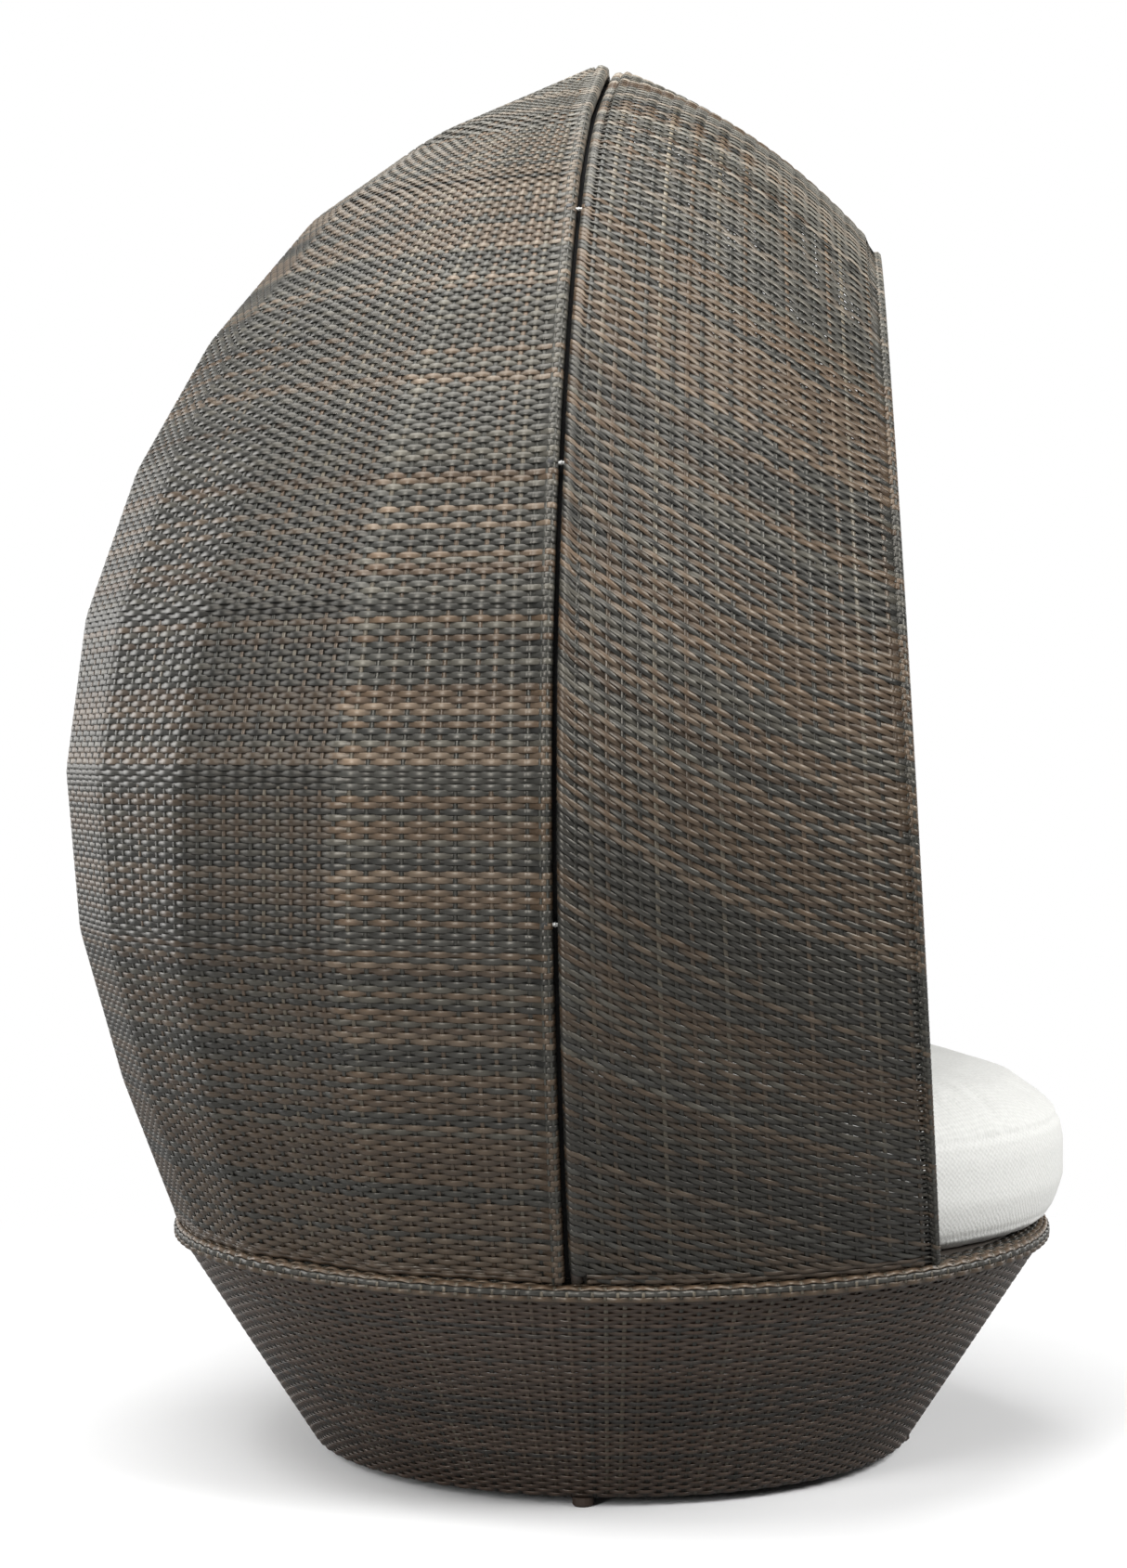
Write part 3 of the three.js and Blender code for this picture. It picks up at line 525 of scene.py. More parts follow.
rear = dict(facetStakes=(11, 12, 9, 10, 10), rowPitch=0.0084, rowStart=0.8, profileSteps=4000,
            leastSpacing=0.0105, mostStride=8, stakeStep=0.045, stakeShare=0.55, stakeStart=0.001,
            groups=5, fill=1.19, swell=-0.03, wrapWidth=0.95, archEase=14, archStep=60,
            seamCrest=0.001, joins=0.35, brownBelow=(0.3, 0.55, 0.4),
            # painted light: tone level along the profile, painted shade at the foot and painted
            # highlight up to the crown
            toneLevel=((0, 0.3, 0.6, 0.8, 1), (0.47, 0.80, 1.22, 1.66, 3.1)),
            # painted highlight along the first ridge and painted shade over the second facet; the
            # heights table sets how much each row takes
            facetLight=((0, 0.55, 0.86, 0.95, 1.04, 1.1, 1.9, 2.1, 5),
                       (1.03, 1.16, 1.35, 1.7, 1.42, 0.49, 0.49, 0.70, 0.92)),
            facetLightHeights=((0.36, 0.60, 0.95, 1.5, 1.95), (0.1, 0.4, 1, 1, 0)))
rearLength = arcLength(rearProfile)


def profileAt(place):
    # radius and height at lengths along the profile of the rear shell
    return (np.interp(place, rearLength, rearProfile[:, k]) for k in range(2))


def strideAt(radius, total):
    # near the crown the rows pass over more stakes at a time
    stride = 1
    while math.pi * radius / total * stride < rear["leastSpacing"] and stride < rear["mostStride"]:
        stride *= 2
    return stride


def makeRearWeave(strand, paint):
    counts = list(rear["facetStakes"]) + list(rear["facetStakes"])[::-1]
    stakeU = np.concatenate([k + (np.arange(n) + 0.5) / n for k, n in enumerate(counts)])
    total = len(stakeU)
    stakeNumbers = np.arange(total)

    fineR, fineZ = profileAt(np.linspace(0, rearLength[-1], rear["profileSteps"]))
    rows = int(rearLength[-1] / rear["rowPitch"]) - 1
    rowPlace = (np.arange(rows) + rear["rowStart"]) * rear["rowPitch"]
    rowR, rowZ = profileAt(rowPlace)
    strides = [strideAt(radius, total) for radius in rowR]

    seamX = -np.sqrt(np.maximum(fineR**2 - canopy["archPlane"]**2, 0))
    line, lineNormal = archLine(np.stack([seamX, seamX * 0 + canopy["archPlane"], fineZ], -1),
                                seamNormal, rear["seamCrest"])
    ease = rear["archEase"]
    kernel = np.ones(2 * ease + 1) / (2 * ease + 1)
    for table in (line, lineNormal):
        for k in range(3):
            table[ease:-ease, k] = np.convolve(table[:, k], kernel, "valid")
    arch = Arch(line, lineNormal, seamNormal, weave["seamBend"])

    height, below, above = rear["brownBelow"]
    colours = rowTones(rows, lambda share: below if share < height else above, rear["toneLevel"])
    piles = [Strands() for _ in range(rear["groups"])]
    weights = np.cumsum([total / stride for stride in strides])
    for row in range(rows):
        right = np.arange(strides[row] // 2, total // 2, strides[row])
        steps = np.concatenate([right, total - 1 - right[::-1]])
        parity = turnAbout(len(steps), row)
        place, lift, wave = overAndUnder(steps.astype(float), parity)
        u = np.interp(place, stakeNumbers, stakeU)
        middle, normal = rearSkin(u, rowZ[row] + wobble(len(u)))
        skinPath = middle + normal * (lift * weave["crossing"])[:, None]
        reach = max(skinPath[0, 1] - canopy["archPlane"], arch.bend * wraps["leastReach"])
        share = np.array([rowPlace[row] / rearLength[-1]])
        (wrap, spoke), (other, otherSpoke) = (arch.wrap(share, reach, 0.0, way)
                                              for way in (parity[0], parity[-1]))
        onArch = len(wrap)
        path = np.concatenate([wrap[::-1], skinPath, other * mirror])
        up = np.concatenate([spoke[::-1], normal, otherSpoke * mirror])
        wide = rear["rowPitch"] * rear["fill"] / 2 * (1 + rear["swell"] * np.pad(lift, onArch))
        wide[:onArch] *= rear["wrapWidth"]
        wide[-onArch:] *= rear["wrapWidth"]
        # painted light: the rows of each facet get its painted highlight or painted shade
        shade = np.interp(np.minimum(u, facets - u), *rear["facetLight"])
        shade = 1 + (shade - 1) * np.interp(rowZ[row], *rear["facetLightHeights"])
        group = min(int(weights[row] / weights[-1] * rear["groups"]), rear["groups"] - 1)
        piles[group].add(path, up, wide, joinedTones(colours[row], len(path), rear["joins"])
                         * np.pad(shade, onArch, mode="edge")[:, None],
                         wave=heldWave(wave, onArch, onArch))
    pieces = [pile.build(f"rear_rows_{i + 1}", strand) for i, pile in enumerate(piles)]

    arch.core("rear_seam_arch", paint)
    stakes = Strands()
    arch.stakes(stakes, rear["archStep"])
    for step in range(total):
        fromEdge = min(step, total - 1 - step)
        stride = next(s for s in (8, 4, 2, 1) if fromEdge % s == s // 2)
        reach = max((place for place, rowStride in zip(rowPlace, strides) if rowStride <= stride),
                    default=0)
        if stride == rear["mostStride"]:
            reach = rowPlace[-1]
        place = np.linspace(rear["stakeStart"], reach, max(int(reach / rear["stakeStep"]), 2))
        radius, z = profileAt(place)
        path, normal = rearSkin(np.full(len(z), stakeU[step]), z)
        spacing = math.pi * radius / total * np.array([strideAt(r, total) for r in radius])
        # painted light: the stakes darken toward the foot and pale toward the crown like the rows
        level = np.interp(place / rearLength[-1], *rear["toneLevel"])[:, None]
        stakes.add(path, normal, np.minimum(weave["stakeWidth"], spacing * rear["stakeShare"]) / 2,
                   stakeTone() * level)
    for row, rise in enumerate(footRows["rear"]):
        foot, lift, wave = overAndUnder(stakeNumbers.astype(float), turnAbout(total, row))
        middle, normal = rearSkin(np.interp(foot, stakeNumbers, stakeU), rearZ[0] + rise)
        footRow(stakes, middle, normal, lift, wave, footRows["rearCreaseShade"])
    pieces.append(stakes.build("rear_stakes", strand))
    for piece in pieces:
        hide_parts("rear_canopy_weave")


front = dict(stakes=21, rows=256, footRows=18, tableSteps=420, fill=1.15, swell=-0.08,
             seamCrest=0.010, mouthCrest=0.013, mouthStep=6, joins=0.5, brownShare=0.42,
             stakeSteps=50, onArch=0.6, mostSlope=0.9, leastAlong=0.0014,
             tuck=(0.010, -0.006, 0.004), sagSteps=101,
             sag=((0, 0.15, 0.4, 0.6, 0.8, 1), (0, 0.024, 0.055, 0.055, 0.038, 0)),
             # painted light: tone level up the shell, painted shade at the foot and painted
             # highlight up to the crest
             toneLevel=((0, 0.2, 0.45, 0.7, 0.85, 1), (0.34, 0.46, 0.80, 1.05, 2.8, 4.0)))
gapShadeStrip = dict(depth=0.0100, steps=90, halfWidth=0.0105, halfThick=0.0008)


def makeFrontWeave(strand, paint, shadeStripPaint):
    count, rows, tableSteps = front["stakes"], front["rows"], front["tableSteps"]
    stakeAt = np.linspace(0, 1, count)  # 0 at the mouth, 1 at the seam
    edge = weave["edgeGap"]

    def planeOf(share):
        return lambda z: (mouthPlane(z) + edge) * (1 - share) - (canopy["archPlane"] + edge) * share

    spread = np.linspace(0, 1, 2 * count - 1)
    table = np.stack([halfArch(planeOf(share), tableSteps) for share in spread])
    upwards, sideways = np.gradient(table, axis=1), np.gradient(table, axis=0)
    normals = unit(np.cross(upwards, sideways))
    normals[:, -1] = unit(normals[:, -1] * np.array([0, 1, 1]))
    upwards = unit(upwards)
    columnLength = np.linalg.norm(np.diff(table, axis=1), axis=2).sum(1)

    def onSkin(share, along):
        # from the table: the middle of the skin, its normal and the way along the stakes
        column = np.clip(share, 0, 1) * (len(spread) - 1)
        low = np.clip(column.astype(int), 0, len(spread) - 2)
        part = (column - low)[:, None]
        step = np.clip(along, 0, 1) * (tableSteps - 1)
        below = np.clip(step.astype(int), 0, tableSteps - 2)
        rest = (step - below)[:, None]

        def blend(grid):
            left, right = (grid[side, below] * (1 - rest) + grid[side, below + 1] * rest
                           for side in (low, low + 1))
            return left * (1 - part) + right * part
        normal = unit(blend(normals))
        return blend(table) - normal * canopy["skin"] / 2, normal, unit(blend(upwards))

    mouthNormal = unit(np.array([0, 1, (canopy["mouthTop"] - canopy["mouthFoot"])
                                 / (canopy["mouthHeight"] - canopy["foot"])]))
    arches = {}
    for name, plane, across, side in (
            ("seam", lambda z: -canopy["archPlane"] + z * 0, seamNormal, -1),
            ("mouth", mouthPlane, mouthNormal, 1)):
        line, normal = archLine(halfArch(plane, tableSteps), across, front[f"{name}Crest"])
        arches[name] = Arch(line, normal, across * side, weave[f"{name}Bend"])

    seam, mouth = arches.values()

    def edgeWrap(arch, share, inner, outer, parity=0):
        share = np.array([np.clip(share, 0, 1)])
        centre = sampled(arch.line, share)[0]
        tangent = unit(sampled(np.gradient(arch.line, axis=0), share)[0])
        run, most = outer - inner, front["mostSlope"]
        slope = np.clip(run @ tangent / max(abs(run @ arch.skinSide), 1e-4), -most, most)
        reach = max(abs((outer - centre) @ arch.skinSide), arch.bend * wraps["leastReach"])
        onArch = (outer - centre) @ tangent + slope * reach * front["onArch"]
        return arch.wrap(share + onArch / arch.length, reach, slope, parity)

    # the rows hang between the arches; how fast the sag grows tells how far they are apart
    sagAt = np.linspace(0, 1, front["sagSteps"])
    sagSlope = np.gradient(np.interp(sagAt, *front["sag"]), sagAt)
    left, right = (rowTones(rows, lambda share: front["brownShare"], front["toneLevel"])
                   for _ in range(2))
    colours = left + right[::-1]
    pieces = []
    for side, sign in (("left", 1), ("right", -1)):
        pile = Strands()
        flip = np.array([sign, 1.0, 1.0])
        for index in range(rows):
            row = index + 0.5
            order = index if sign > 0 else 2 * rows - 1 - index
            parity = turnAbout(count, order)
            place, lift, wave = overAndUnder(stakeAt, parity)
            place = np.clip(place, 0, 1)
            foot = front["footRows"] * (1 - place)
            arc = np.interp(place, spread, columnLength)
            bow = 4 * place * (1 - place) / arc
            along = (row - foot) / (rows - foot)
            spacing = (1 - bow * np.interp(along, sagAt, sagSlope)) * arc / (rows - foot)
            along = along - bow * np.interp(along, *front["sag"])
            kept = along > front["leastAlong"]
            if kept.sum() < 3:
                continue
            place, lift, along, spacing, wave = (values[kept] for values in
                                                 (place, lift, along, spacing, wave))
            middle, normal, rising = onSkin(place, along)
            middle = middle + rising * wobble(len(place))[:, None]
            skinPath = middle + normal * (lift * weave["crossing"])[:, None]
            tangent = unit(np.gradient(middle, axis=0))
            wide = spacing * front["fill"] / 2 * (1 + front["swell"] * lift) \
                * np.sqrt(1 - (tangent * rising).sum(1)**2)
            seamWrap, seamSpoke = edgeWrap(seam, row / rows, middle[-3], middle[-1])
            if kept[0]:
                share = (row - front["footRows"]) / (rows - front["footRows"])
                mouthWrap, mouthSpoke = edgeWrap(mouth, share, middle[2], middle[0], parity[0])
                start, startUp = mouthWrap[::-1], mouthSpoke[::-1]
            else:
                inwards, *shift = front["tuck"]
                below, outward, _ = onSkin(np.array([1 - row / front["footRows"]]), np.array([0.0]))
                start = np.concatenate([below - outward * inwards + np.array([0, *shift]), below])
                startUp = np.repeat(outward, 2, 0)
            ends = len(start), len(seamWrap)
            pile.add(np.concatenate([start, skinPath, seamWrap]) * flip,
                     np.concatenate([startUp, normal, seamSpoke]) * flip,
                     np.pad(wide, ends, mode="edge"),
                     joinedTones(colours[order], sum(ends) + len(wide), front["joins"]),
                     wave=heldWave(wave, *ends))
        pieces.append(pile.build(f"front_rows_{side}", strand))

    stakes = Strands()
    along = np.linspace(0, 1, front["stakeSteps"])
    # painted light: the stakes darken toward the foot and pale toward the crest like the rows
    level = np.interp(along, *front["toneLevel"])
    level = np.concatenate([level, level[-2::-1]])[:, None]
    for share in stakeAt:
        half, normal, _ = onSkin(np.full(len(along), share), along)
        stakes.add(bothSides(half), bothSides(normal), weave["stakeWidth"] / 2, stakeTone() * level)
    mouth.stakes(stakes, front["mouthStep"])
    for name, arch in arches.items():
        arch.core(f"front_{name}_arch", paint)
    for sign in (1, -1):
        flip = np.array([sign, 1.0, 1.0])
        for row, rise in enumerate(footRows["front"]):
            place, lift, wave = overAndUnder(stakeAt, turnAbout(count, row))
            line, up, _ = onSkin(place, np.full(len(place), rise))
            footRow(stakes, line * flip, up * flip, lift, wave, footRows["frontTone"])

    # a near-black strip behind the seam is painted shade: it stands for the shade in the gap
    # between the two arches and closes the view there
    pick = np.linspace(0, tableSteps - 1, gapShadeStrip["steps"]).astype(int)
    line, normal = seam.line[pick], seam.normal[pick]
    half = (line - normal * gapShadeStrip["depth"]) * np.array([1.0, 0, 1.0])
    shadeStrip = Strands()
    shadeStrip.add(bothSides(half), bothSides(normal), gapShadeStrip["halfWidth"], tones["gapShadeStrip"],
             gapShadeStrip["halfThick"])
    shadeStrip.build("seam_gap_shade", shadeStripPaint)

    pieces.append(stakes.build("front_stakes", strand))
    for piece in pieces:
        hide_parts("front_canopy_weave")


base = dict(bottomRadius=0.476, topRadius=0.691, bottom=0.0143, top=0.3437, stakes=162, rows=55,
            crossing=0.0014, fill=1.24, swell=-0.16, tint=(0.42, 0.37, 0.40), brownShare=0.78,
            hold=0.2, joinBrown=0.7, tuckedEnd=(-1.0, -1.6), stakeSteps=7, stakeTone=0.42)
rim = dict(stakes=248, crossing=0.0016, stakeWidth=0.0052, rowWidth=0.0090, stakeTone=(0.2, 0.8),
           # the last number of each row scales its tone: the inner rows under the shells and the
           # cushion's side and the downward bottom row are darker, painted shade
           rows=((0.6600, 0.3612, 90, "grey", 0.30), (0.6680, 0.3616, 90, "brown", 0.35),
                 (0.6760, 0.3618, 90, "grey", 0.60), (0.6840, 0.3612, 78, "brown", 0.95),
                 (0.6912, 0.3582, 45, "brown", 1.05), (0.6950, 0.3512, 8, "grey", 0.95),
                 (0.6950, 0.3430, -4, "brown", 0.70)))


def around(turns, radius, height):
    return np.stack([-np.cos(turns) * radius, np.sin(turns) * radius, height + turns * 0], -1)


def ringRow(pile, row, stakes, at, normal, wide, colour, crossing, toneLevel):
    # one row round the base, over and under its stakes; at and normal are (radius, height)
    first = 2 * int(chance.integers(0, stakes // 2)) + (row + 1) % 2
    place, lift, wave = overAndUnder(np.arange(stakes + 1).astype(float), turnAbout(stakes + 1, 1))
    lift[-2:] = base["tuckedEnd"]  # its end is tucked behind its start
    turn = (place + first) * 2 * math.pi / stakes
    at = at[None] + normal[None] * (lift * crossing)[:, None]
    colours = np.repeat([colour], len(turn), 0)
    join = chance.integers(0, len(turn), 2)
    colours[min(join):max(join)] = oneTone("brown" if chance.random() < base["joinBrown"]
                                           else "grey") * toneLevel
    pile.add(around(turn, at[:, 0], at[:, 1]), around(turn, normal[0], normal[1]),
             wide / 2 * (1 + base["swell"] * np.clip(lift, -1, 1)), colours, wave=wave)


def uprights(pile, count, line, normals, width, tone):
    # stakes all round the axis; line and normals are (radius, height), tone gives each its colour
    for turn in np.arange(count) * 2 * math.pi / count:
        turns = np.full(len(line), turn)
        pile.add(around(turns, *line.T), around(turns, *normals.T), width / 2, tone())


def makeBaseWeave(strand):
    low = np.array([base["bottomRadius"], base["bottom"]])
    high = np.array([base["topRadius"], base["top"]])
    slope = unit(high - low)
    outward = np.array([slope[1], -slope[0]])
    inset, tint = outward * canopy["skin"] / 2, np.array(base["tint"])
    wide = np.linalg.norm(high - low) / base["rows"] * base["fill"]
    colours = rowTones(base["rows"], lambda share: base["brownShare"], hold=base["hold"])
    piles = [Strands(), Strands()]
    for row in range(base["rows"]):
        share = (row + 0.5) / base["rows"]
        at = low * (1 - share) + high * share - inset
        ringRow(piles[int(share * 2)], row, base["stakes"], at, outward, wide, colours[row] * tint,
                base["crossing"], tint)
    stakes = Strands()
    steps = base["stakeSteps"]
    shares = np.linspace(0, 1, steps)[:, None]
    line = low * (1 - shares) + high * shares - inset
    uprights(stakes, base["stakes"], line, np.repeat([outward], steps, 0), weave["stakeWidth"],
             lambda: stakeTone() * base["stakeTone"])
    for name, pile in (("base_rows_low", piles[0]), ("base_rows_high", piles[1]),
                       ("base_stakes", stakes)):
        piece = pile.build(name, strand)
        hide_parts("base_weave")

    border = Strands()
    section, normals = [], []
    for row, (radius, height, lean, kind, level) in enumerate(rim["rows"]):
        normal = np.array([math.cos(math.radians(lean)), math.sin(math.radians(lean))])
        ringRow(border, row, rim["stakes"], np.array([radius, height]), normal, rim["rowWidth"],
                oneTone(kind) * level, rim["crossing"], level)
        section.append((radius, height))
        normals.append(normal)
    least, more = rim["stakeTone"]
    uprights(border, rim["stakes"], np.array(section), np.array(normals), rim["stakeWidth"],
             lambda: np.array(tones["rimStake"]) * (least + more * chance.random()))
    piece = border.build("rim_border", strand)
    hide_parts("base_rim_wrap")


# Finishes

grain = dict(streaks=(9, 4.5, 0.7), patches=42, tone=(0.62, 0.5, 0.3), edgeShade=0.45,
             waveShade=(0.82, 0.25), gloss=(0.31, 0.2), relief=(1.35, 0.35, 0.2), depth=0.001)


def strandFinish():
    finish = Finish("wovenStrand", Roughness=0.4, Specular_IOR_Level=0.7,
                    Specular_Tint=(1.0, 0.94, 0.84, 1))
    colour = finish.attribute("strandColour", 0)
    along, across = finish.attribute("strandAlong"), finish.attribute("strandAcross")
    wave = finish.wave("COSINE", finish.attribute("strandWave"))
    lengthwise, sideways, drift = grain["streaks"]
    stretched = finish.vector(along * lengthwise, across * sideways, along * drift)
    streaks = finish.noise(stretched, 1, 3)
    patches = finish.noise(finish.place(), grain["patches"], 2)
    edge = across * across
    ground, streakShare, patchShare = grain["tone"]
    under, crest = grain["waveShade"]
    # painted shade: darker at the strand edges between the rows and in the dips under the stakes
    tone = (ground + streaks * streakShare + patches * patchShare) \
        * (1 - edge * edge * edge * grain["edgeShade"]) * (under + wave * crest)
    smooth, dull = grain["gloss"]
    waveRise, edgeFall, streakRise = grain["relief"]
    return finish.feed(
        Base_Color=finish.scaled(colour, tone),
        Roughness=smooth + streaks * dull,
        Normal=finish.bump(wave * waveRise - edge * edgeFall + streaks * streakRise, 1.0,
                           grain["depth"]))


plain = dict(finer=9, lessRough=0.08, roughSpan=0.16, bump=0.15, depth=0.0003)


def plainFinish(name, low, high, scale, roughness, metallic=0.0):
    finish = Finish(name, Metallic=metallic)
    cloud = finish.noise(finish.place(), scale, 3)
    fine = finish.noise(finish.place(), scale * plain["finer"], 2)
    return finish.feed(
        Base_Color=finish.mixed(cloud, low, high),
        Roughness=roughness - plain["lessRough"] + fine * plain["roughSpan"],
        Normal=finish.bump(fine, plain["bump"], plain["depth"]))


def paintNode(name, material):
    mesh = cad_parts[name].data
    mesh.materials.clear()
    mesh.materials.append(material)


# Bars of the rear shell and the studs of the seam

bars = dict(rib=0.009, rung=0.006, rail=0.011, ring=0.011, gap=0.0006, railHeight=0.3753,
            crownLevel=8, ribEnd=0.010, ribSteps=80, rungGap=0.0003, rungSteps=120,
            ringStart=0.02, ringSteps=140)


def makeBars(paint):
    def inside(u, z, radius):
        middle, normal = rearSkin(u, z)
        return middle - normal * (canopy["skin"] / 2 + bars["gap"] + radius), normal

    foot, crown = bars["railHeight"], rearZ[bars["crownLevel"]]
    z = np.linspace(foot + bars["ribEnd"], crown - bars["ribEnd"], bars["ribSteps"])
    for column in range(1, facets):
        path, normal = inside(np.full(len(z), float(column)), z, bars["rib"])
        roundBar(f"rib_{column}", path, normal, bars["rib"], paint, f"rear_rib_{column}")
    u = np.linspace(1.0, facets - 1.0, bars["rungSteps"])
    for level in range(1, bars["crownLevel"]):
        path, normal = inside(u, np.full(len(u), rearZ[level]), bars["rung"])
        path = path - normal * (2 * bars["rib"] + bars["rungGap"])
        roundBar(f"rung_{level}", path, normal, bars["rung"], paint, f"rear_rung_{level}")
    u = np.linspace(bars["ringStart"], facets - bars["ringStart"], bars["ringSteps"])
    for name, height, radius, node in (("rear_rail", foot, bars["rail"], "rear_foot_rail"),
                                       ("crown_ring", crown, bars["ring"], "rear_crown_ring")):
        path, normal = inside(u, np.full(len(u), height), radius)
        path[:, 2] = height if name == "rear_rail" else path[:, 2].mean()
        roundBar(name, path, normal, radius, paint, node)


studs = dict(shares=dict(low=0.2745, middle=0.613, high=0.824), pin=(0.0030, 0.030),
             collar=(0.0042, 0.0026), cap=(0.0048, 0.0034), depth=0.0050, capRise=0.0068,
             sides=20, bevel=0.0010, bevelSteps=3, smoothAngle=40)


def selectOnly(*pieces):
    bpy.ops.object.select_all(action="DESELECT")
    for piece in pieces:
        piece.select_set(True)
    bpy.context.view_layer.objects.active = pieces[0]


def makeStuds(steel, cap):
    slopes = np.gradient(*rearProfile.T)
    for level, share in studs["shares"].items():
        z = canopy["foot"] + share * (canopy["peak"] - canopy["foot"])
        radius, slope = np.interp(z, rearZ, levelR), np.interp(z, rearZ, slopes)
        for side, sign in (("left", -1), ("right", 1)):
            outward = unit(np.array([sign, 0, -slope]))
            at = np.array([sign * radius, 0, z]) + axisShift - outward * studs["depth"]
            across, lean = (math.pi / 2, 0, 0), (0, math.atan2(outward[0], outward[2]), 0)
            solids = [(*studs["pin"], at, across, steel), (*studs["collar"], at, across, steel)]
            for shell in (-1, 1):
                shift = np.array([0, shell * canopy["archPlane"], 0])
                solids.append((*studs["cap"], at + outward * studs["capRise"] + shift, lean, cap))
            parts = []
            for wide, long, place, turn, material in solids:
                bpy.ops.mesh.primitive_cylinder_add(
                    vertices=studs["sides"], radius=wide, depth=long, location=place, rotation=turn)
                parts.append(bpy.context.object)
                parts[-1].data.materials.append(material)
            selectOnly(*parts)
            bpy.ops.object.join()
            piece = bpy.context.object
            piece.name = f"stud_{side}_{level}"
            bpy.ops.object.transform_apply(location=True, rotation=True, scale=True)
            bevel = piece.modifiers.new("Bevel", "BEVEL")
            bevel.width, bevel.segments = studs["bevel"], studs["bevelSteps"]
            bevel.limit_method = "ANGLE"
            bpy.ops.object.modifier_apply(modifier=bevel.name)
            bpy.ops.object.shade_smooth_by_angle(angle=math.radians(studs["smoothAngle"]))
            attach(piece, "daybed")
            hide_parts(f"seam_stud_{side}_{level}")


# Cushion: cut to size, puffed up, spread to its outline again, then given dents and seams

cushion = dict(radius=0.636, shift=-0.040, bulge=0.044, floor=0.3646, bandTop=0.162, crown=0.112,
               inset=0.003, topInset=0.6, voxel=0.011, pressure=4, cap=0.024, frames=20, turns=144,
               sides=((0.040, 0), (0.020, 0.0113), (0.010, 0.034), (0, 0.066), (0, 0.130),
                      (0.005, 0.162)),
               topDraw=0.005, topShares=(0.985, 0.95, 0.88, 0.77, 0.62, 0.43, 0.22))
outline = dict(bins=72, draw=0.001, heldWithin=0.5, above=0.10)
dents = dict(start=0.05, span=0.15, height=0.0022, x=(9, 1.3), y=(11, 0.4), small=(0.6, 23, 17))
seams = dict(rows=((cushion["bandTop"], 1.0), (0.020, 0.7)), width=0.0045, outside=0.9,
             depth=0.0028, pucker=(0.12, 61, 37))
cushionFoot = axisShift + np.array([0, cushion["shift"], cushion["floor"]])


def cushionRadius(turn, draw):
    # plan radius about the cushion's own middle, with a fuller front
    return cushion["radius"] + cushion["bulge"] * np.maximum(-np.sin(turn), 0)**6 - draw


def cushionShell(inset):
    count = cushion["turns"]
    turn = np.arange(count) * 2 * math.pi / count
    rings = [(cushionRadius(turn, draw + inset), rise) for draw, rise in cushion["sides"]]
    for share in cushion["topShares"]:
        rise = cushion["crown"] * math.sqrt(1 - share**3)
        rings.append((cushionRadius(turn, cushion["topDraw"] + inset) * share,
                      cushion["bandTop"] + rise - inset * cushion["topInset"]))
    points = [(0, 0, 0)]
    for radius, rise in rings:
        points += list(zip(radius * np.cos(turn), radius * np.sin(turn), np.full(count, rise)))
    points.append((0, 0, cushion["bandTop"] + cushion["crown"] - inset * cushion["topInset"]))
    faces = [(0, 1 + (k + 1) % count, 1 + k) for k in range(count)]
    for first in range(1, 1 + (len(rings) - 1) * count, count):
        for k in range(count):
            a, b = first + k, first + (k + 1) % count
            faces.append((a, b, b + count, a + count))
    last = 1 + (len(rings) - 1) * count
    faces += [(last + k, last + (k + 1) % count, len(points) - 1) for k in range(count)]
    mesh = bpy.data.meshes.new("cushion")
    mesh.from_pydata((np.array(points) + cushionFoot).tolist(), [], faces)
    mesh.validate()
    piece = bpy.data.objects.new("cushion", mesh)
    scene.collection.objects.link(piece)
    return piece


def coordinates(mesh):
    flat = np.empty(len(mesh.vertices) * 3, np.float32)
    mesh.vertices.foreach_get("co", flat)
    return flat.reshape(-1, 3).astype(float)


def moveTo(mesh, points):
    mesh.vertices.foreach_set("co", points.astype(np.float32).reshape(-1))


def polar(points):
    # places measured from the cushion's foot, with their turn and radius about its middle
    local = points - cushionFoot
    return local, np.arctan2(local[:, 1], local[:, 0]), np.hypot(local[:, 0], local[:, 1])


def puffUp(piece):
    rest = coordinates(piece.data)
    cloth = piece.modifiers.new("Cloth", "CLOTH")
    cloth.settings.use_pressure = True
    cloth.settings.uniform_pressure_force = cushion["pressure"]
    cloth.settings.effector_weights.gravity = 0
    for number in range(1, cushion["frames"] + 1):
        scene.frame_set(number)
    graph = bpy.context.evaluated_depsgraph_get()
    step = coordinates(piece.evaluated_get(graph).data) - rest
    piece.modifiers.remove(cloth)
    scene.frame_set(1)
    length = np.linalg.norm(step, axis=1)
    return rest + step * np.minimum(1, cushion["cap"] / np.maximum(length, 1e-9))[:, None]


def fullOutline(points):
    # the filling is spread until the cushion is as wide all round and as high as it was cut
    local, turn, radius = polar(points)
    bins = outline["bins"]
    cell = ((turn / (2 * math.pi)) % 1 * bins).astype(int) % bins
    widest = np.array([radius[cell == k].max() for k in range(bins)])
    centres = (np.arange(bins) + 0.5) * 2 * math.pi / bins
    ratio = cushionRadius(centres, outline["draw"]) / widest
    ratio = (np.roll(ratio, 1) + 2 * ratio + np.roll(ratio, -1)) / 4
    factor = np.interp(turn % (2 * math.pi), centres, ratio, period=2 * math.pi)
    local[:, :2] *= (1 + (factor - 1) * np.clip(radius / outline["heldWithin"], 0, 1)**2)[:, None]
    above = np.maximum(local[:, 2] - outline["above"], 0)
    wanted = cushion["bandTop"] + cushion["crown"] - outline["above"]
    local[:, 2] += above * (wanted / above.max() - 1)
    print("cushion widened by", ratio.min().round(3), "to", ratio.max().round(3))
    return local + cushionFoot


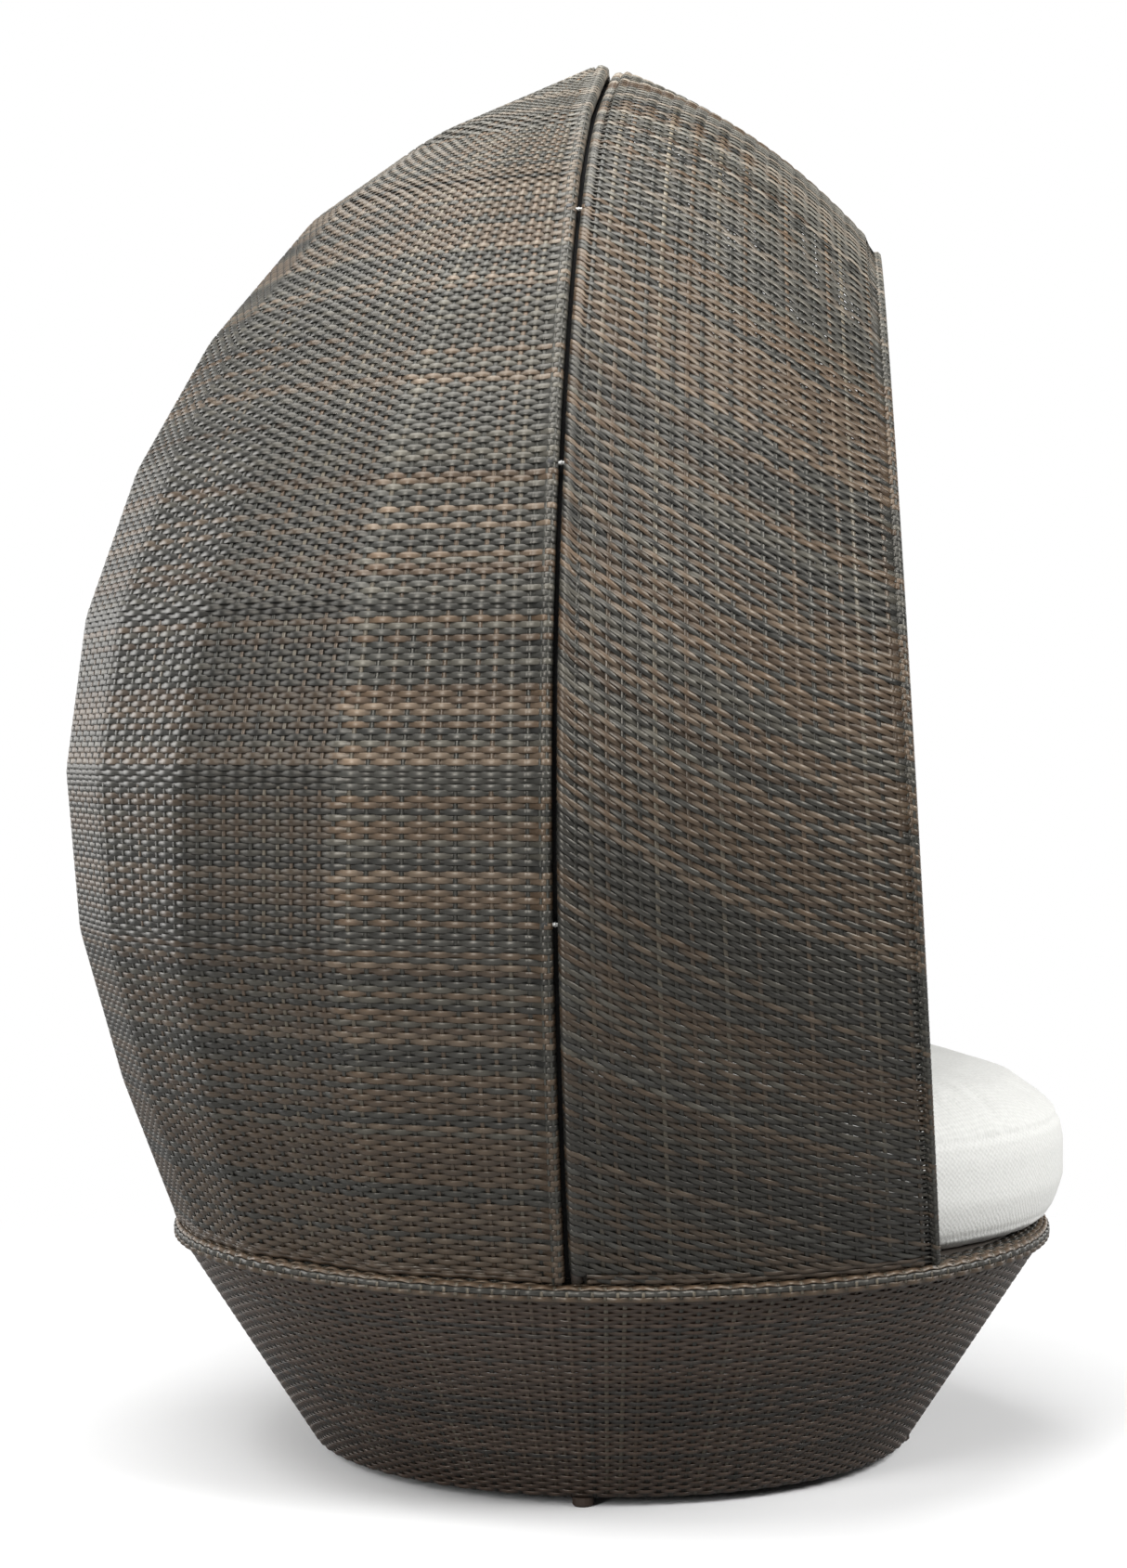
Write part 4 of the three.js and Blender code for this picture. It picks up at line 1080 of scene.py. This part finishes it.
def dented(points):
    # the top of a used cushion isn't even
    x, y, z = points.T
    rise = np.clip((z - cushion["floor"] - dents["start"]) / dents["span"], 0, 1)
    (rateX, startX), (rateY, startY) = dents["x"], dents["y"]
    share, smallX, smallY = dents["small"]
    waves = (np.sin(x * rateX + startX) * np.sin(y * rateY + startY)
             + share * np.sin(x * smallX + y * smallY))
    return np.stack([x, y, z + waves * rise * dents["height"]], -1)


def seamed(points):
    # the seams draw the cloth in, a little more and less in turn
    local, turn, radius = polar(points)
    outward = np.stack([np.cos(turn), np.sin(turn), turn * 0], -1)
    change, fast, slow = seams["pucker"]
    pucker = 1 + change * np.sin(turn * fast) * np.sin(turn * slow + 1)
    onSide = radius > cushionRadius(turn, 0) * seams["outside"]
    for height, strength in seams["rows"]:
        near = np.exp(-((local[:, 2] - height) / seams["width"])**2) * onSide
        points = points - outward * (near * strength * seams["depth"] * pucker)[:, None]
    return points


def makeCushion(fabric):
    piece = cushionShell(cushion["inset"])
    selectOnly(piece)
    piece.data.remesh_voxel_size = cushion["voxel"]
    bpy.ops.object.voxel_remesh()
    points = fullOutline(puffUp(piece))
    points[:, 2] = np.maximum(points[:, 2], cushion["floor"])
    moveTo(piece.data, dented(points))
    smooth = piece.modifiers.new("Subdivision", "SUBSURF")
    smooth.levels = smooth.render_levels = 1
    bpy.ops.object.modifier_apply(modifier=smooth.name)
    points = seamed(coordinates(piece.data))
    moveTo(piece.data, points)
    piece.data.materials.clear()
    piece.data.materials.append(fabric)
    piece.data.shade_smooth()
    piece.data.update()
    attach(piece, "cushion")
    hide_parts("seat_cushion")
    print("cushion", len(piece.data.polygons) * 2, "triangles", points.min(0), points.max(0))


cloth = dict(thread=0.0048, bandReach=0.64, bandRise=1.15, bandEdge=0.002, slant=0.12, slubs=190,
             loose=((90, 3.5), (9, 6)), relief=(0.38, 0.75), depth=0.0014, gloss=(0.82, 0.12),
             low=(0.62, 0.62, 0.59), high=(0.86, 0.86, 0.83))


def fabricFinish():
    finish = Finish("cushionCloth", Roughness=0.88, Sheen_Weight=0.12, Sheen_Roughness=0.5)
    place = finish.place()
    x, y, z = (finish.node("SeparateXYZ", {}, {0: place}, k) for k in range(3))
    turn = finish.node("Math", dict(operation="ARCTAN2"), {0: x, 1: float(cushionFoot[1]) - y})
    seamHeight = cushion["floor"] + cushion["bandTop"]
    onBand = finish.step(z, seamHeight + cloth["bandEdge"], seamHeight - cloth["bandEdge"])
    rate = math.pi / cloth["thread"]
    nearby, wide = (finish.noise(place, scale, 2) * far for scale, far in cloth["loose"])
    loose = nearby + wide

    def threads(across, along):
        first, second = (finish.wave("SINE", value * rate + loose) for value in (across, along))
        return 0.5 + 0.5 * (first * second)

    slant, slubs = cloth["slant"], finish.noise(place, cloth["slubs"], 3)
    top = threads(x + y * slant, y - x * slant)
    side = threads(turn * cloth["bandReach"], z * cloth["bandRise"])
    threadRise, slubRise = cloth["relief"]
    height = (top * (1 - onBand) + side * onBand) * threadRise + slubs * slubRise
    smooth, dull = cloth["gloss"]
    return finish.feed(
        Base_Color=finish.mixed(height, cloth["low"], cloth["high"]),
        Roughness=smooth + slubs * dull,
        Normal=finish.bump(height, 0.7, cloth["depth"]))


# Floor, world and lamps

def makeStudio():
    scene.view_settings.view_transform = "Standard"
    world = bpy.data.worlds.new("studio")
    scene.world = world
    world.use_nodes = True
    nodes, links = world.node_tree.nodes, world.node_tree.links
    light, seen = nodes["Background"], nodes.new("ShaderNodeBackground")
    for background in (light, seen):
        background.inputs["Color"].default_value = (1, 1, 1, 1)
    light.inputs["Strength"].default_value = studio["world"]
    path, mix = nodes.new("ShaderNodeLightPath"), nodes.new("ShaderNodeMixShader")
    for k, socket in enumerate((path.outputs["Is Camera Ray"], light.outputs[0], seen.outputs[0])):
        links.new(socket, mix.inputs[k])
    links.new(mix.outputs[0], nodes["World Output"].inputs["Surface"])

    mesh = bpy.data.meshes.new("floor")
    half = studio["floorSize"] / 2
    mesh.from_pydata([(-half, -half, 0), (half, -half, 0), (half, half, 0), (-half, half, 0)], [],
                     [(0, 1, 2, 3)])
    floor = bpy.data.objects.new("floor", mesh)
    paper = Finish("paper", Roughness=0.9, Specular_IOR_Level=0.0)
    away = paper.node("VectorMath", dict(operation="LENGTH"), {0: paper.place()}, "Value")
    clear = paper.step(away, *studio["floorClear"])
    seenBy = paper.node("LightPath", {}, {}, "Is Camera Ray")
    bounce, lit = ((studio[tone],) * 3 for tone in ("bounceTone", "floorTone"))
    paper.feed(Base_Color=paper.mixed(seenBy, bounce, lit))
    white = paper.node("Emission", {}, {"Color": (1, 1, 1, 1)})
    mixed = paper.node("MixShader", {}, {
        0: seenBy * clear, 1: Wire(paper, paper.shader.outputs[0]), 2: white})
    paper.links.new(mixed.socket, paper.nodes["Material Output"].inputs["Surface"])
    mesh.materials.append(paper.material)
    scene.collection.objects.link(floor)

    for name, lamp in lamps.items():
        data = bpy.data.lights.new(name, "AREA")
        data.shape, data.energy = "RECTANGLE", lamp["power"]
        data.size, data.size_y = lamp["size"]
        made = bpy.data.objects.new(name, data)
        made.location = lamp["place"]
        aim = np.array(studio["aim"]) - np.array(lamp["place"])
        made.rotation_euler = (math.atan2(math.hypot(aim[0], aim[1]), -aim[2]), 0,
                               math.atan2(aim[1], aim[0]) - math.pi / 2)
        scene.collection.objects.link(made)


makeCamera()
makeStudio()
print("camera, floor and lamps placed")

strand = strandFinish()
barPaint = plainFinish("barPaint", (0.030, 0.024, 0.020), (0.045, 0.036, 0.029), 18, 0.45)
# painted shade: the paint of the near-black strip behind the seam
gapShadePaint = plainFinish("gapShadePaint", (0.003, 0.003, 0.003), (0.006, 0.005, 0.005), 40, 0.85)
makeRearWeave(strand, barPaint)
makeFrontWeave(strand, barPaint, gapShadePaint)
makeBaseWeave(strand)
print("weave done")

makeCushion(fabricFinish())
print("cushion done")

footPlastic = plainFinish("footPlastic", (0.030, 0.018, 0.012), (0.045, 0.028, 0.019), 40, 0.5)
deckBoard = plainFinish("deckBoard", (0.045, 0.036, 0.028), (0.070, 0.056, 0.044), 12, 0.7)
boltSteel = plainFinish("boltSteel", (0.40, 0.40, 0.39), (0.55, 0.55, 0.53), 60, 0.34, metallic=1.0)
studCap = plainFinish("studCap", (0.020, 0.020, 0.020), (0.032, 0.031, 0.029), 90, 0.42)
makeBars(barPaint)
makeStuds(boltSteel, studCap)
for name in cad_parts:
    if name.startswith("foot_"):
        paintNode(name, footPlastic)
    elif name.startswith(("seam_stud", "base_bolt")):
        paintNode(name, boltSteel)
    elif name == "seat_deck":
        paintNode(name, deckBoard)
    elif "weave" not in name and name not in ("base_rim_wrap", "seat_cushion"):
        paintNode(name, barPaint)
print("bars and fittings painted")
